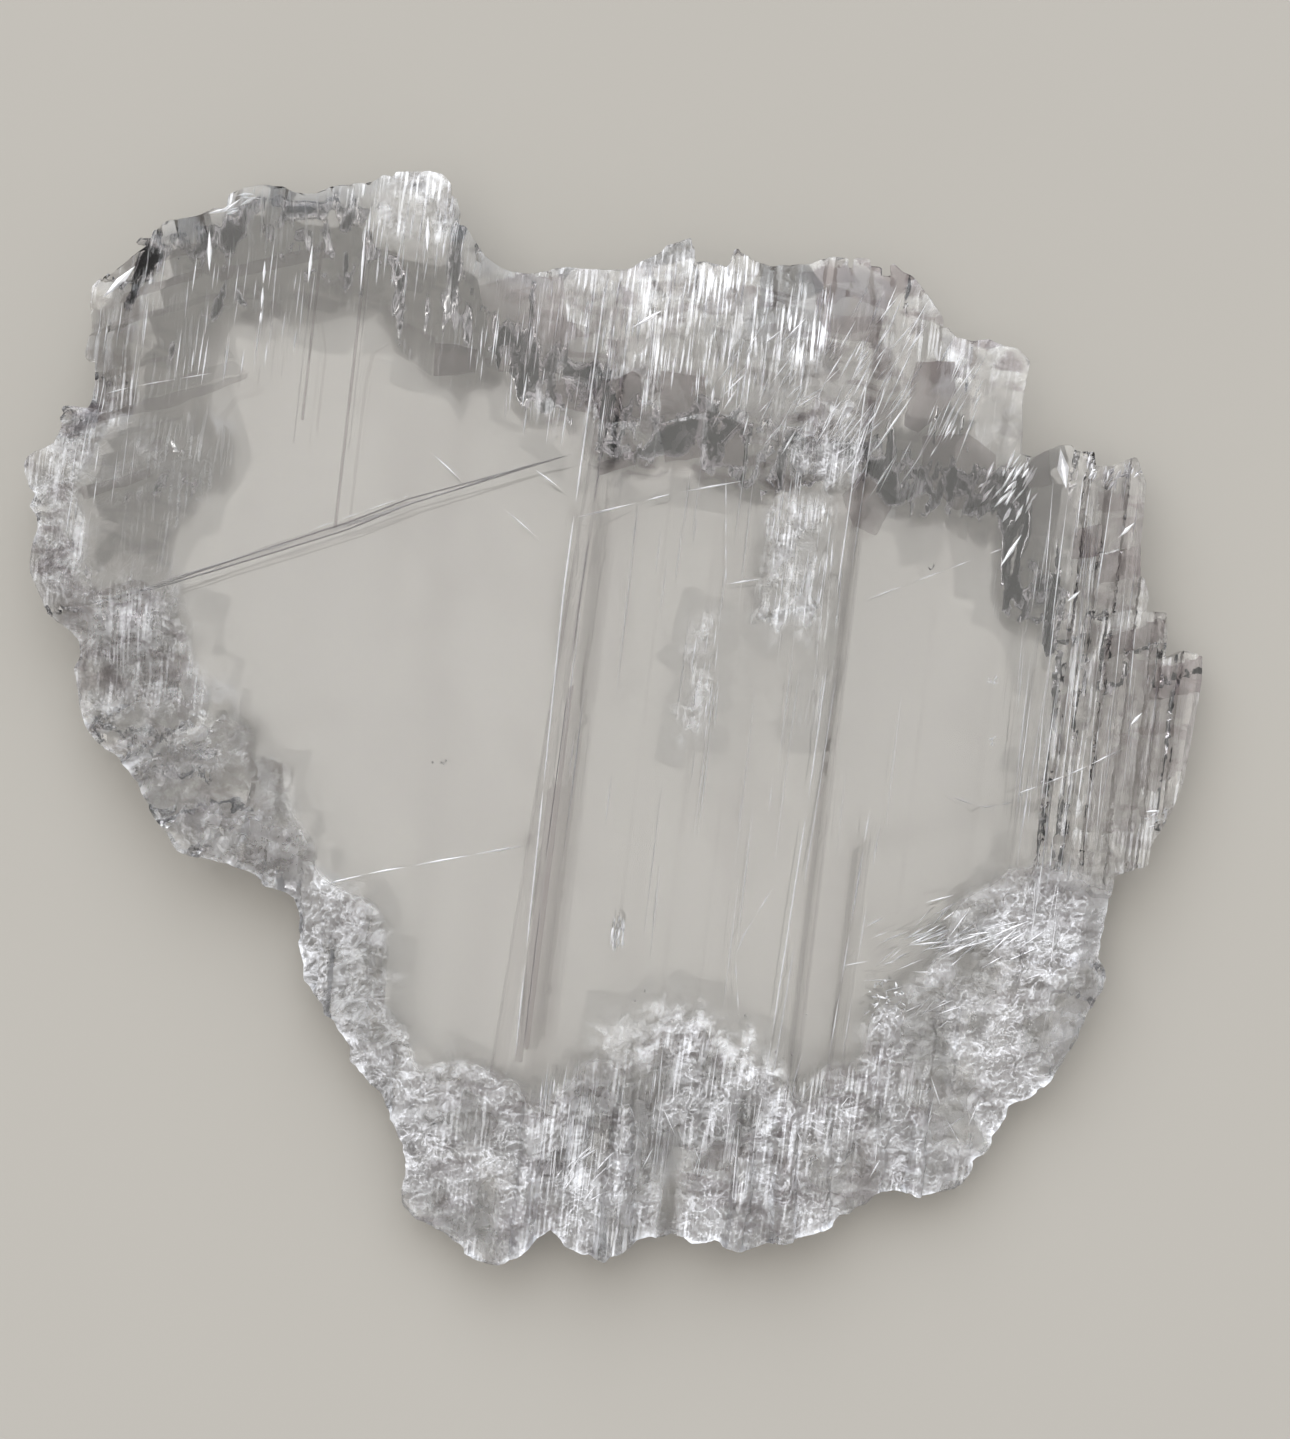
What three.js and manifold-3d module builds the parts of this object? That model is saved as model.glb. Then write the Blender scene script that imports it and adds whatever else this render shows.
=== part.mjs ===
// A slab of clear selenite: one cleavage plate of gypsum, broken out of a larger crystal.
//
// The plate lies on its back cleavage face, +Z up. Both big faces are flat cleavage planes. Around them
// the rim is broken: undercut along the north, stepped into laths along the east, thinned to a sugary
// wedge along the south, and flaked along the west. Lengths are millimetres.
//
// Shapes are cut in the crystal's own frame: u runs across the fibres and v along them. The whole slab
// is then turned by FIBRE_TILT, so the outlines below are given as x and y of the part's frame.
import * as THREE from "three";
import { mergeVertices } from "three/addons/utils/BufferGeometryUtils.js";
import Module from "manifold-3d";

const wasm = await Module();
wasm.setup();

// ---- Driving dimensions ----

const THICKNESS = 14; // between the two cleavage faces
const FIBRE_TILT = THREE.MathUtils.degToRad(6.8); // fibres lean this far from +Y towards +X
const CROSS_TILT = THREE.MathUtils.degToRad(19.5); // the second cleavage climbs this far from u towards v
const BEYOND = 6; // how far a cutter reaches past what it cuts
const FAR = 90; // further out than the slab reaches

// The rim, clockwise from the west, as x and y.
const RIM = {
  westComb: [
    [-68.2, 10.2], [-72.3, 13.8], [-72.9, 16.2], [-74.2, 19.9], [-73.0, 24.2], [-73.9, 27.1], [-73.3, 28.8],
    [-74.8, 31.1], [-74.5, 33.5], [-72.3, 34.5], [-70.7, 36.4], [-70.4, 38.9], [-68.6, 40.3], [-67.3, 41.1],
  ],
  northWestShoulder: [
    [-67.2, 44.4], [-66.7, 49.0], [-66.7, 52.4], [-66.3, 54.9], [-64.6, 57.0], [-61.8, 59.1], [-59.9, 61.0],
    [-56.3, 63.1], [-51.9, 63.9], [-50.2, 64.8], [-49.7, 66.1], [-47.1, 67.1], [-44.5, 67.6], [-41.9, 67.4],
  ],
  northWestCrest: [
    [-40.3, 66.5], [-37.7, 66.5], [-35.6, 67.4], [-30.5, 67.9], [-29.2, 69.0], [-25.4, 69.4], [-21.7, 68.9],
    [-20.4, 67.4], [-19.6, 64.2], [-18.3, 61.4], [-16.3, 58.5], [-14.5, 57.1],
  ],
  saddle: [[-12.8, 56.6], [-8.8, 56.6], [-6.2, 57.2], [-3.3, 57.0], [-1.1, 56.8], [1.8, 57.1]],
  crown: [
    [3.4, 58.1], [5.6, 59.1], [6.3, 60.0], [9.3, 61.0], [13.1, 61.0], [15.0, 60.4], [15.9, 59.0], [17.9, 58.1],
    [20.3, 57.5], [22.9, 57.8], [27.8, 58.6], [31.6, 58.5], [34.7, 58.0], [37.7, 55.9], [39.5, 53.7],
    [41.0, 51.6], [43.1, 48.6],
  ],
  northEastBlock: [
    [45.0, 48.1], [47.1, 48.2], [49.0, 47.4], [50.7, 47.1], [52.3, 45.4], [51.9, 43.6], [51.4, 40.7], [51.3, 33.8],
  ],
  lathStairs: [
    [52.7, 33.2], [54.1, 34.0], [55.8, 34.7], [57.5, 34.9], [58.2, 34.0], [60.5, 34.0], [60.7, 32.2],
    [62.9, 32.3], [65.0, 33.2], [66.0, 33.5], [67.2, 30.2], [66.9, 26.5], [66.5, 22.5], [66.5, 18.6],
    [67.3, 17.8], [67.7, 15.8], [67.4, 13.9], [70.1, 13.9], [70.4, 11.0], [70.0, 7.8], [72.8, 9.1],
    [74.9, 8.3], [74.8, 5.0], [74.0, 0.6], [73.2, -3.9], [72.5, -7.7], [71.2, -11.0], [69.7, -13.7],
    [68.3, -15.8], [67.9, -18.5], [63.4, -19.6], [62.9, -22.9], [62.4, -26.2], [61.6, -30.2],
  ],
  southEastRim: [
    [62.2, -31.1], [62.2, -32.8], [61.2, -35.1], [60.1, -37.4], [59.2, -39.8], [57.8, -42.6], [55.9, -45.4],
    [53.1, -48.2], [50.2, -49.2], [49.8, -51.1], [47.9, -52.9], [48.1, -53.9], [45.6, -56.2], [45.6, -57.7],
    [44.6, -59.2], [41.8, -60.3], [38.5, -60.8], [37.6, -60.0], [33.8, -60.3],
  ],
  southRim: [
    [31.0, -62.2], [28.6, -63.3], [26.3, -65.3], [23.0, -66.2], [19.2, -66.9], [16.9, -67.8], [14.1, -66.9],
    [12.7, -66.2], [9.8, -66.9], [8.3, -66.1], [4.2, -66.2], [0.9, -67.2], [-1.4, -68.6],
  ],
  southLobes: [
    [-4.3, -68.6], [-6.3, -67.5], [-7.6, -66.0], [-8.3, -65.0], [-9.8, -66.0], [-11.8, -67.6], [-14.0, -69.2],
    [-16.5, -69.3], [-19.4, -67.9], [-22.0, -65.6], [-25.8, -63.4], [-27.1, -62.2],
  ],
  heel: [[-27.4, -59.5], [-26.8, -55.7], [-27.9, -51.9], [-29.8, -48.5], [-32.5, -45.1]],
  southWestRim: [
    [-34.2, -43.5], [-34.2, -41.6], [-35.4, -39.4], [-37.1, -37.4], [-38.0, -34.9], [-40.0, -33.1],
    [-40.4, -29.5], [-40.6, -24.8], [-41.0, -22.8],
  ],
  westFlakes: [
    [-44.5, -20.9], [-47.8, -18.9], [-51.2, -17.6], [-53.7, -17.2], [-55.8, -16.4], [-57.0, -14.4],
    [-58.7, -12.3], [-60.2, -9.3], [-61.2, -6.4], [-63.4, -4.5], [-65.9, -2.9], [-67.9, -0.4], [-68.7, 2.9],
    [-69.2, 6.7], [-68.2, 8.3],
  ],
};

// Where the broken rim meets the clear cleavage faces, clockwise from the north-west.
const WINDOW = [
  [-48.6, 53.7], [-43.2, 54.3], [-37.7, 53.7], [-30.5, 54.4], [-27.6, 50.7], [-25.5, 45.7], [-23.2, 43.5],
  [-15.1, 43.8], [-8.8, 39.3], [-3.2, 38.9], [-2.0, 31.1], [6.0, 32.8], [16.0, 31.6], [19.1, 30.0],
  [27.6, 27.5], [30.1, 23.1], [32.6, 22.0], [37.7, 25.6], [41.3, 26.7], [45.7, 23.7], [50.4, 22.3],
  [52.7, 15.4], [54.0, 2.7], [55.5, -10.0], [54.6, -16.3], [48.9, -20.1], [38.1, -28.4], [32.1, -33.5],
  [31.6, -36.9], [32.6, -39.8], [27.9, -43.0], [23.5, -43.2], [15.9, -40.4], [10.8, -35.8], [5.7, -34.4],
  [0.6, -37.9], [-2.2, -41.7], [-7.0, -44.9], [-12.1, -43.2], [-21.0, -41.1], [-24.1, -43.2], [-27.9, -41.7],
  [-31.1, -35.8], [-33.0, -30.3], [-33.4, -23.9], [-37.7, -21.4], [-40.0, -13.8], [-42.8, -8.7], [-43.6, 0.8],
  [-50.8, 4.0], [-54.0, 7.8], [-55.2, 15.4], [-53.7, 25.6], [-48.9, 33.2], [-50.8, 40.8], [-49.5, 48.5],
];

// Each stretch of the rim breaks in its own way. grain is the length of its teeth and rough their depth.
const BREAK = {
  westComb: { grain: 1.3, rough: 0.5 },
  northWestShoulder: { grain: 2.0, rough: 0.18 },
  northWestCrest: { grain: 1.8, rough: 0.2 },
  saddle: { grain: 1.6, rough: 0.2 },
  crown: { grain: 1.9, rough: 0.2 },
  northEastBlock: { grain: 3.0, rough: 0.1 },
  lathStairs: { grain: 6.0, rough: 0.0 },
  southEastRim: { grain: 1.5, rough: 0.35 },
  southRim: { grain: 1.5, rough: 0.35 },
  southLobes: { grain: 1.6, rough: 0.25 },
  heel: { grain: 2.0, rough: 0.3 },
  southWestRim: { grain: 1.5, rough: 0.4 },
  westFlakes: { grain: 2.2, rough: 0.3 },
};

// Steps of the front cleavage face. Each sinks a field between two fibre lines by its depth. A field's ends
// lie on the second cleavage, and v is given on its west side.
const RISER_RUN = 0.7; // a step's wall leans outwards by this much
const RISER_LAP = 0.4; // its cutter reaches this far into the field
const LONG_LEDGE = -7.6; // u of the long ledge's west side
const TERRACES = [
  { u: [LONG_LEDGE, FAR], v: [-110, FAR], depth: 0.35 }, // the long ledge, on its west side
  { u: [-4.1, FAR], v: [-110, FAR], depth: 0.7 }, // and on its east side
  { u: [27.3, FAR], v: [-110, FAR], depth: 1.0 }, // the second ledge
  { u: [-4.1, 16.2], v: [-110, 26.5], depth: 0.95 }, // below the cross step
  { u: [16.4, 23.4], v: [14.8, 31.5], depth: 1.35 }, // the torn rectangular patch
  { u: [32.4, FAR], v: [-110, -12], depth: 1.35 }, // the third ledge
];
const CROSS_STEP = { u: [-60, LONG_LEDGE], v: -34.3, depth: 0.4 }; // climbs across the south-west

// How each stretch of the rim is cut away. It is cut in strips side by side. strips is the stretch that they
// cover, and width the range of their widths. A pair of numbers is always the lowest and the highest.

// The north is undercut from the back. In the west it is one slope of about 45 degrees, up to a thin lip. In
// the east it is as steep at the clear face, then flatter past a knee.
const UNDERCUT = {
  strips: [-76, 55.8],
  width: [2.2, 5.8],
  reach: [9, 27], // from the rim to where the slope starts
  reachOutside: 12, // the same, beside the clear window
  westEnd: -24, // u where the single slope ends
  westWander: [-0.9, 0.9],
  westLip: [1.0, 2.4],
  eastWander: [-1.6, 1.6],
  knee: [6.5, 9.5], // run up to the knee
  kneeShare: 0.62, // of the reach, at most
  kneeSlope: [0.98, 1.18],
  kneeCover: 4.6, // left above the knee, at least
  eastLip: [1.8, 4.2],
  leastClimb: 0.3,
};

// The front skin along the north falls a little towards the rim. On the crown it is crumpled.
const SKIN = {
  strips: [-71, 60],
  width: [1.9, 4.6],
  crown: [-6, 38], // u
  crumple: [3.5, 12], // how far in from the rim the crown's skin falls
  margin: [0.8, 3.0], // and the skin beside it
  slope: [0.12, 0.4],
  mostFall: 2.6,
  start: 0.4, // how far below the face it ends at least
  ledge: 0.55, // how far below the face it starts, past the long ledge
  turn: [-0.3, 0.3],
};

// The south rim thins to a sugary wedge: the front falls in two slopes, and the back climbs a little.
const SOUTH_WEDGE = {
  strips: [-44, 62],
  width: [2.4, 6.0],
  reachOutside: 12,
  leastReach: 7,
  wander: [-2.0, 1.2],
  shoulder: [0.25, 0.55], // share of the reach
  shoulderHeight: [9.2, 12.2],
  frontEdge: [5.0, 7.6],
  backShare: [0.3, 0.6],
  backEdge: [1.4, 3.4],
  frontTurn: [-0.12, 0.12],
  backTurn: [-0.15, 0.15],
};

// The west rim is flaked from both faces.
const COMB = {
  strips: [2, 58],
  width: [2.2, 5.0],
  wander: [-4, 2],
  bend: [0.35, 0.7], // share of the reach
  frontStart: [4, 8], // in from the rim
  frontTurn: [-0.25, 0.25],
  frontRun: 5,
  frontStep: 0.4,
  frontFall: [1.8, 4.4],
  bendHeight: [3.5, 6.5],
  backEdge: [6.2, 8.8],
};

// Long flakes run down the south-west shoulder, side by side, each with its own fall.
const FLAKES = {
  strips: [-30, 12],
  width: [2.0, 5.2],
  heading: THREE.MathUtils.degToRad(38), // past west
  overlap: 1.3,
  wander: [-2.5, 1.5],
  leastReach: 5,
  stretch: 1.05,
  ledge: [0.3, 0.6], // share of the reach
  ledgeHeight: [9.4, 12.4],
  frontEdge: [6.5, 9.5],
  backTurn: [-0.3, 0.3],
  backEdge: [2.4, 5.2],
};

// The east rim is a bundle of laths, each with its own front and back level and ends cut on the second cleavage.
const LATHS = {
  strips: [55.8, 80],
  width: [1.6, 3.4],
  start: 1.35, // depth of the front beside them
  frontStep: [0.1, 1.15],
  backStep: [-0.2, 0.95],
  lowestFront: 7.4,
  highestBack: 4.6,
  lowestBack: 0.2,
  notch: [10, 24], // v where the back steps up
  notchStep: [0.4, 1.6],
  highestNotch: 5.8,
  north: 60, // v
  frontSouth: -34,
  backSouth: -46,
};

// The south-east corner wears down outwards from both faces.
const CORNER = {
  strips: [-56, -14],
  width: [2.2, 5.4],
  mostReach: 26,
  wander: [-1.5, 1.5],
  shoulder: [0.3, 0.6], // share of the reach
  frontTurn: [-0.2, 0.1],
  frontStart: 1.2, // depth of the front beside it
  shoulderHeight: [9.6, 11.8],
  frontEdge: [5.4, 8],
  backRun: 6,
  backTurn: [-0.2, 0.2],
  backEdge: [1.6, 3.4],
};

// ---- Small tools ----

// A repeatable stream of numbers from 0 to 1.
function seededRandom(seed) {
  let state = seed;
  return () => {
    state = (state + 0x6d2b79f5) | 0;
    let t = Math.imul(state ^ (state >>> 15), 1 | state);
    t = (t + Math.imul(t ^ (t >>> 7), 61 | t)) ^ t;
    return ((t ^ (t >>> 14)) >>> 0) / 4294967296;
  };
}

const random = seededRandom(20);
const draw = ([low, high]) => low + (high - low) * random();
const mix = (a, b, share) => a + (b - a) * share;

// A point of the part's frame, as u and v.
function toCrystal([x, y]) {
  const cos = Math.cos(FIBRE_TILT);
  const sin = Math.sin(FIBRE_TILT);
  return [x * cos - y * sin, x * sin + y * cos];
}

function solidFrom(geometry) {
  const bare = geometry.clone();
  bare.deleteAttribute("normal");
  bare.deleteAttribute("uv");
  const merged = mergeVertices(bare, 1e-4);
  return new wasm.Manifold(
    new wasm.Mesh({
      numProp: 3,
      vertProperties: merged.attributes.position.array,
      triVerts: new Uint32Array(merged.index.array),
    }),
  );
}

function geometryFrom(solid) {
  const mesh = solid.getMesh();
  const geometry = new THREE.BufferGeometry();
  geometry.setAttribute("position", new THREE.BufferAttribute(mesh.vertProperties, 3));
  geometry.setIndex(new THREE.BufferAttribute(mesh.triVerts, 1));
  const flat = geometry.toNonIndexed();
  flat.computeVertexNormals();
  return flat;
}

// An upright prism over a plan outline, from z low to z high.
function prism(points, low, high) {
  const shape = new THREE.Shape(points.map(([u, v]) => new THREE.Vector2(u, v)));
  const geometry = new THREE.ExtrudeGeometry(shape, { depth: high - low, bevelEnabled: false });
  return solidFrom(geometry.translate(0, 0, low));
}

// A cutter with one profile all along its width. The profile's points are a distance along the heading
// from the plan point and a height; the width is centred on the plan point.
function wedge(profile, at, heading, width) {
  const shape = new THREE.Shape(profile.map(([d, z]) => new THREE.Vector2(d, z)));
  const geometry = new THREE.ExtrudeGeometry(shape, { depth: width, bevelEnabled: false });
  const along = new THREE.Vector3(Math.cos(heading), Math.sin(heading), 0);
  const up = new THREE.Vector3(0, 0, 1);
  const across = new THREE.Vector3().crossVectors(along, up);
  const place = new THREE.Matrix4().makeBasis(along, up, across);
  const start = new THREE.Vector3(at[0], at[1], 0).addScaledVector(across, -width / 2);
  place.setPosition(start);
  return solidFrom(geometry.applyMatrix4(place));
}

// The end of a bent slope, carried on past the rim in its last direction.
function carriedOn(slope) {
  const [before, last] = slope.slice(-2);
  const rise = (last[1] - before[1]) / (last[0] - before[0]);
  return [last[0] + BEYOND, last[1] + rise * BEYOND];
}

const SET_BACK = 0.5; // a cutter starts this far inside its slope, so that it breaks through the face
const OVERSHOOT = 0.3; // and this far outside the face

// Takes away everything above a bent slope that starts at the plan point and falls outwards.
function frontSlope(at, heading, width, slope) {
  const end = carriedOn(slope);
  const [run, height] = slope[0];
  const top = THICKNESS + BEYOND;
  const profile = [
    [run - SET_BACK, top], [run - SET_BACK, height + OVERSHOOT], ...slope.slice(1), end, [end[0], top],
  ];
  return wedge(profile, at, heading, width);
}

// The same, seen from below: takes away everything under a slope that climbs outwards.
function backSlope(at, heading, width, slope) {
  const end = carriedOn(slope);
  const [run, height] = slope[0];
  const profile = [
    [run - SET_BACK, -BEYOND], [run - SET_BACK, height - OVERSHOOT], ...slope.slice(1), end, [end[0], -BEYOND],
  ];
  return wedge(profile, at, heading, width);
}

// The lowest or highest place where a closed outline crosses the line on which axis equals value.
function crossing(outline, axis, value, side) {
  const other = 1 - axis;
  const found = [];
  outline.forEach((a, i) => {
    const b = outline[(i + 1) % outline.length];
    if (a[axis] > value === b[axis] > value) return;
    found.push(mix(a[other], b[other], (value - a[axis]) / (b[axis] - a[axis])));
  });
  if (!found.length) return null;
  return side > 0 ? Math.max(...found) : Math.min(...found);
}

// ---- The plate ----

// The rim's corners with small teeth between them.
const UNEVEN = [-0.2, 0.2]; // how far a tooth is off its even place, as a share of the spacing

function brokenRim() {
  const corners = Object.entries(RIM).flatMap(([name, points]) => points.map((p) => ({ p, ...BREAK[name] })));
  const teeth = [];
  corners.forEach(({ p, grain, rough }, i) => {
    const next = corners[(i + 1) % corners.length].p;
    const run = Math.hypot(next[0] - p[0], next[1] - p[1]);
    const count = Math.max(1, Math.round(run / grain));
    teeth.push(p);
    for (let k = 1; k < count; k++) {
      const depth = draw([-rough, rough]);
      const share = (k + draw(UNEVEN)) / count;
      teeth.push([
        mix(p[0], next[0], share) + (depth * (next[1] - p[1])) / run,
        mix(p[1], next[1], share) - (depth * (next[0] - p[0])) / run,
      ]);
    }
  });
  return teeth.map(toCrystal);
}

const LAP = 0.02; // neighbouring strips overlap by this much

// Strips of uneven width, side by side.
function strips({ strips: [from, to], width: range }) {
  const made = [];
  for (let start = from; start < to; ) {
    const width = Math.min(draw(range), to - start);
    made.push({ middle: start + width / 2, width: width + LAP });
    start += width;
  }
  return made;
}

const NORTH = Math.PI / 2;
const SOUTH = -Math.PI / 2;
const EAST = 0;
const WEST = Math.PI;

function northUndercut(rim, window) {
  const cut = UNDERCUT;
  return strips(cut).flatMap(({ middle, width }) => {
    const top = crossing(rim, 0, middle, 1);
    if (top === null) return [];
    const edge = crossing(window, 0, middle, 1) ?? top - cut.reachOutside;
    const inner = Math.max(Math.min(edge, top - cut.reach[0]), top - cut.reach[1]);
    if (middle < cut.westEnd) {
      const reach = top - inner + draw(cut.westWander);
      return [backSlope([middle, top - reach], NORTH, width, [[0, 0], [reach, THICKNESS - draw(cut.westLip)]])];
    }
    const start = inner + draw(cut.eastWander);
    const reach = top - start;
    const knee = Math.min(reach * cut.kneeShare, draw(cut.knee));
    const kneeHeight = Math.min(knee * draw(cut.kneeSlope), THICKNESS - cut.kneeCover);
    const lipHeight = Math.max(THICKNESS - draw(cut.eastLip), kneeHeight + cut.leastClimb);
    return [backSlope([middle, start], NORTH, width, [[0, 0], [knee, kneeHeight], [reach, lipHeight]])];
  });
}

function northSkin(rim) {
  const cut = SKIN;
  return strips(cut).flatMap(({ middle, width }) => {
    const top = crossing(rim, 0, middle, 1);
    if (top === null) return [];
    const reach = draw(middle > cut.crown[0] && middle < cut.crown[1] ? cut.crumple : cut.margin);
    const fall = Math.min(reach * draw(cut.slope), cut.mostFall);
    const begin = THICKNESS - (middle > LONG_LEDGE ? cut.ledge : 0);
    return [frontSlope([middle, top - reach], NORTH + draw(cut.turn), width,
      [[0, begin], [reach, THICKNESS - fall - cut.start]])];
  });
}

function southWedge(rim, window) {
  const cut = SOUTH_WEDGE;
  return strips(cut).flatMap(({ middle, width }) => {
    const bottom = crossing(rim, 0, middle, -1);
    if (bottom === null) return [];
    const inner = crossing(window, 0, middle, -1) ?? bottom + cut.reachOutside;
    const start = Math.max(inner, bottom + cut.leastReach) + draw(cut.wander);
    const reach = start - bottom;
    const shoulder = draw(cut.shoulder) * reach;
    const shoulderHeight = draw(cut.shoulderHeight);
    const front = [[0, THICKNESS], [shoulder, shoulderHeight], [reach, draw(cut.frontEdge)]];
    const backRun = draw(cut.backShare) * reach;
    return [
      frontSlope([middle, start], SOUTH + draw(cut.frontTurn), width, front),
      backSlope([middle, bottom + backRun], SOUTH + draw(cut.backTurn), width,
        [[0, 0], [backRun, draw(cut.backEdge)]]),
    ];
  });
}

function westComb(rim, window) {
  const cut = COMB;
  return strips(cut).flatMap(({ middle, width }) => {
    const edge = crossing(rim, 1, middle, -1);
    const inner = crossing(window, 1, middle, -1);
    if (edge === null || inner === null) return [];
    const start = inner + draw(cut.wander);
    const reach = start - edge;
    const bend = draw(cut.bend);
    return [
      frontSlope([edge + draw(cut.frontStart), middle], WEST + draw(cut.frontTurn), width,
        [[0, THICKNESS - cut.frontStep], [cut.frontRun, THICKNESS - draw(cut.frontFall)]]),
      backSlope([start, middle], WEST, width,
        [[0, 0], [reach * bend, draw(cut.bendHeight)], [reach, draw(cut.backEdge)]]),
    ];
  });
}

function westFlakes(rim, window) {
  const cut = FLAKES;
  return strips(cut).flatMap(({ middle, width }) => {
    const edge = crossing(rim, 1, middle, -1);
    const inner = crossing(window, 1, middle, -1);
    if (edge === null || inner === null) return [];
    const start = inner + draw(cut.wander);
    const reach = Math.max(start - edge, cut.leastReach) * cut.stretch;
    const ledge = draw(cut.ledge);
    return [
      frontSlope([start, middle], WEST + cut.heading, width * cut.overlap,
        [[0, THICKNESS], [reach * ledge, draw(cut.ledgeHeight)], [reach, draw(cut.frontEdge)]]),
      backSlope([start, middle], WEST + draw(cut.backTurn), width, [[0, 0], [reach, draw(cut.backEdge)]]),
    ];
  });
}

function eastLaths() {
  const cut = LATHS;
  let front = THICKNESS - cut.start;
  let back = 0;
  return strips(cut).flatMap(({ middle, width }) => {
    front -= draw(cut.frontStep);
    back += draw(cut.backStep);
    const lift = width * Math.tan(CROSS_TILT);
    const [west, east] = [middle - width / 2, middle + width / 2];
    const plan = (low, high) => [[west, low], [east, low + lift], [east, high + lift], [west, high]];
    const level = (height, highest) => Math.max(Math.min(height, highest), cut.lowestBack);
    const notch = draw(cut.notch);
    return [
      prism(plan(cut.frontSouth, cut.north), Math.max(front, cut.lowestFront), THICKNESS + BEYOND),
      prism(plan(cut.backSouth, notch), -BEYOND, level(back, cut.highestBack)),
      prism(plan(notch, cut.north), -BEYOND, level(back + draw(cut.notchStep), cut.highestNotch)),
    ];
  });
}

function southEastCorner(rim, window) {
  const cut = CORNER;
  return strips(cut).flatMap(({ middle, width }) => {
    const edge = crossing(rim, 1, middle, 1);
    const inner = crossing(window, 1, middle, 1);
    if (edge === null || inner === null) return [];
    const start = Math.max(inner, edge - cut.mostReach) + draw(cut.wander);
    const reach = edge - start;
    const shoulder = draw(cut.shoulder) * reach;
    return [
      frontSlope([start, middle], EAST + draw(cut.frontTurn), width,
        [[0, THICKNESS - cut.frontStart], [shoulder, draw(cut.shoulderHeight)], [reach, draw(cut.frontEdge)]]),
      backSlope([edge - cut.backRun, middle], EAST + draw(cut.backTurn), width,
        [[0, 0], [cut.backRun, draw(cut.backEdge)]]),
    ];
  });
}

// The flat steps of the front cleavage face, with leaning walls.
function frontTerraces() {
  const top = THICKNESS + BEYOND;
  const fields = TERRACES.map(({ u, v, depth }) => {
    const floor = THICKNESS - depth;
    const climb = (u[1] - u[0]) * Math.tan(CROSS_TILT);
    const inside = prism([[u[0], v[0]], [u[1], v[0] + climb], [u[1], v[1] + climb], [u[0], v[1]]], floor, top);
    const wall = [[-RISER_RUN, THICKNESS], [0, floor], [RISER_LAP, floor], [RISER_LAP, top], [-RISER_RUN, top]];
    return inside.add(wedge(wall, [u[0], (v[0] + v[1]) / 2], EAST, v[1] - v[0]));
  });
  const { u, v, depth } = CROSS_STEP;
  const climb = (u[1] - u[0]) * Math.tan(CROSS_TILT);
  fields.push(prism([[u[0], -FAR], [u[1], -FAR], [u[1], v + climb], [u[0], v]], THICKNESS - depth, top));
  return fields;
}

// The plate with everything cut away. Loose crumbs are dropped.
function slab() {
  const rim = brokenRim();
  const window = WINDOW.map(toCrystal);
  const cutters = [
    ...frontTerraces(),
    ...northUndercut(rim, window),
    ...northSkin(rim),
    ...southWedge(rim, window),
    ...westComb(rim, window),
    ...westFlakes(rim, window),
    ...eastLaths(),
    ...southEastCorner(rim, window),
  ];
  const cut = prism(rim, 0, THICKNESS).subtract(wasm.Manifold.union(cutters));
  return cut.decompose().reduce((largest, piece) => (piece.volume() > largest.volume() ? piece : largest));
}

// ---- The part ----

const selenite = new THREE.Mesh(
  geometryFrom(slab()),
  new THREE.MeshStandardMaterial({ color: 0xe6e5e0, roughness: 0.08, metalness: 0, transparent: true, opacity: 0.4 }),
);
selenite.name = "selenite_slab";
selenite.rotation.z = -FIBRE_TILT;

// The origin is the middle of the plan box, on the back face.
const part = new THREE.Group();
part.add(selenite);
const box = new THREE.Box3().setFromObject(part, true);
selenite.position.set(-(box.min.x + box.max.x) / 2, -(box.min.y + box.max.y) / 2, 0);

export default part;
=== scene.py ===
"""Finishes the selenite slab for its picture: clear cleavage faces inside a broken, silky and sugary rim.

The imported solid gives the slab's outline, thickness and main breaks. This script casts rays at it to read its
front and back as height maps, breaks those up the way gypsum splits, and meshes the result. Lengths inside
the classes are millimetres in the crystal's frame: u runs across the fibres and v along them.
"""

import logging
import math
from dataclasses import dataclass, field
from enum import Enum

import bpy
import numpy as np
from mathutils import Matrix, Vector
from mathutils.bvhtree import BVHTree
from mathutils.geometry import delaunay_2d_cdt
from mathutils.kdtree import KDTree


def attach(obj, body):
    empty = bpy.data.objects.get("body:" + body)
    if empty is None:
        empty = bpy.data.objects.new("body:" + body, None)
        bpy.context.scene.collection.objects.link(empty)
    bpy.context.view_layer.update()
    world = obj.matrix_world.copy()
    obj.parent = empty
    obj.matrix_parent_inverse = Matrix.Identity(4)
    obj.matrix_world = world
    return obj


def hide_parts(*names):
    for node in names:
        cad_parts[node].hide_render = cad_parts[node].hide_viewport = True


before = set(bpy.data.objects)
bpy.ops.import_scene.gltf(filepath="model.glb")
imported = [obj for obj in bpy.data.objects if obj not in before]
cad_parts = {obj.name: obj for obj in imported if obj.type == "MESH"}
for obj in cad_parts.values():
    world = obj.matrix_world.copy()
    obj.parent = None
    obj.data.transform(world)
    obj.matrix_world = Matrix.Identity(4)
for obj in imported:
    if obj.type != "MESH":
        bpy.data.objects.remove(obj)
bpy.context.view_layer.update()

LOG = logging.getLogger("selenite")
MM = 0.001  # metres in a millimetre
THICKNESS = 14.0
THINNEST = 2.2  # lowest that the front face may come down to
SKY = 50.0  # height above and below the slab from which rays are cast
FIBRE_TILT = math.radians(6.8)  # fibres lean this far from +Y towards +X
CROSS_TILT = math.radians(19.5)  # the second cleavage climbs this far from u towards v
FINISH_FIELDS = ("silk", "frost", "milk", "dusk")
SHADE_AND_CALM_FIELDS = ("painted_crisp_shade", "calm")
TINY = 1e-9  # keeps a division from failing
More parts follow.
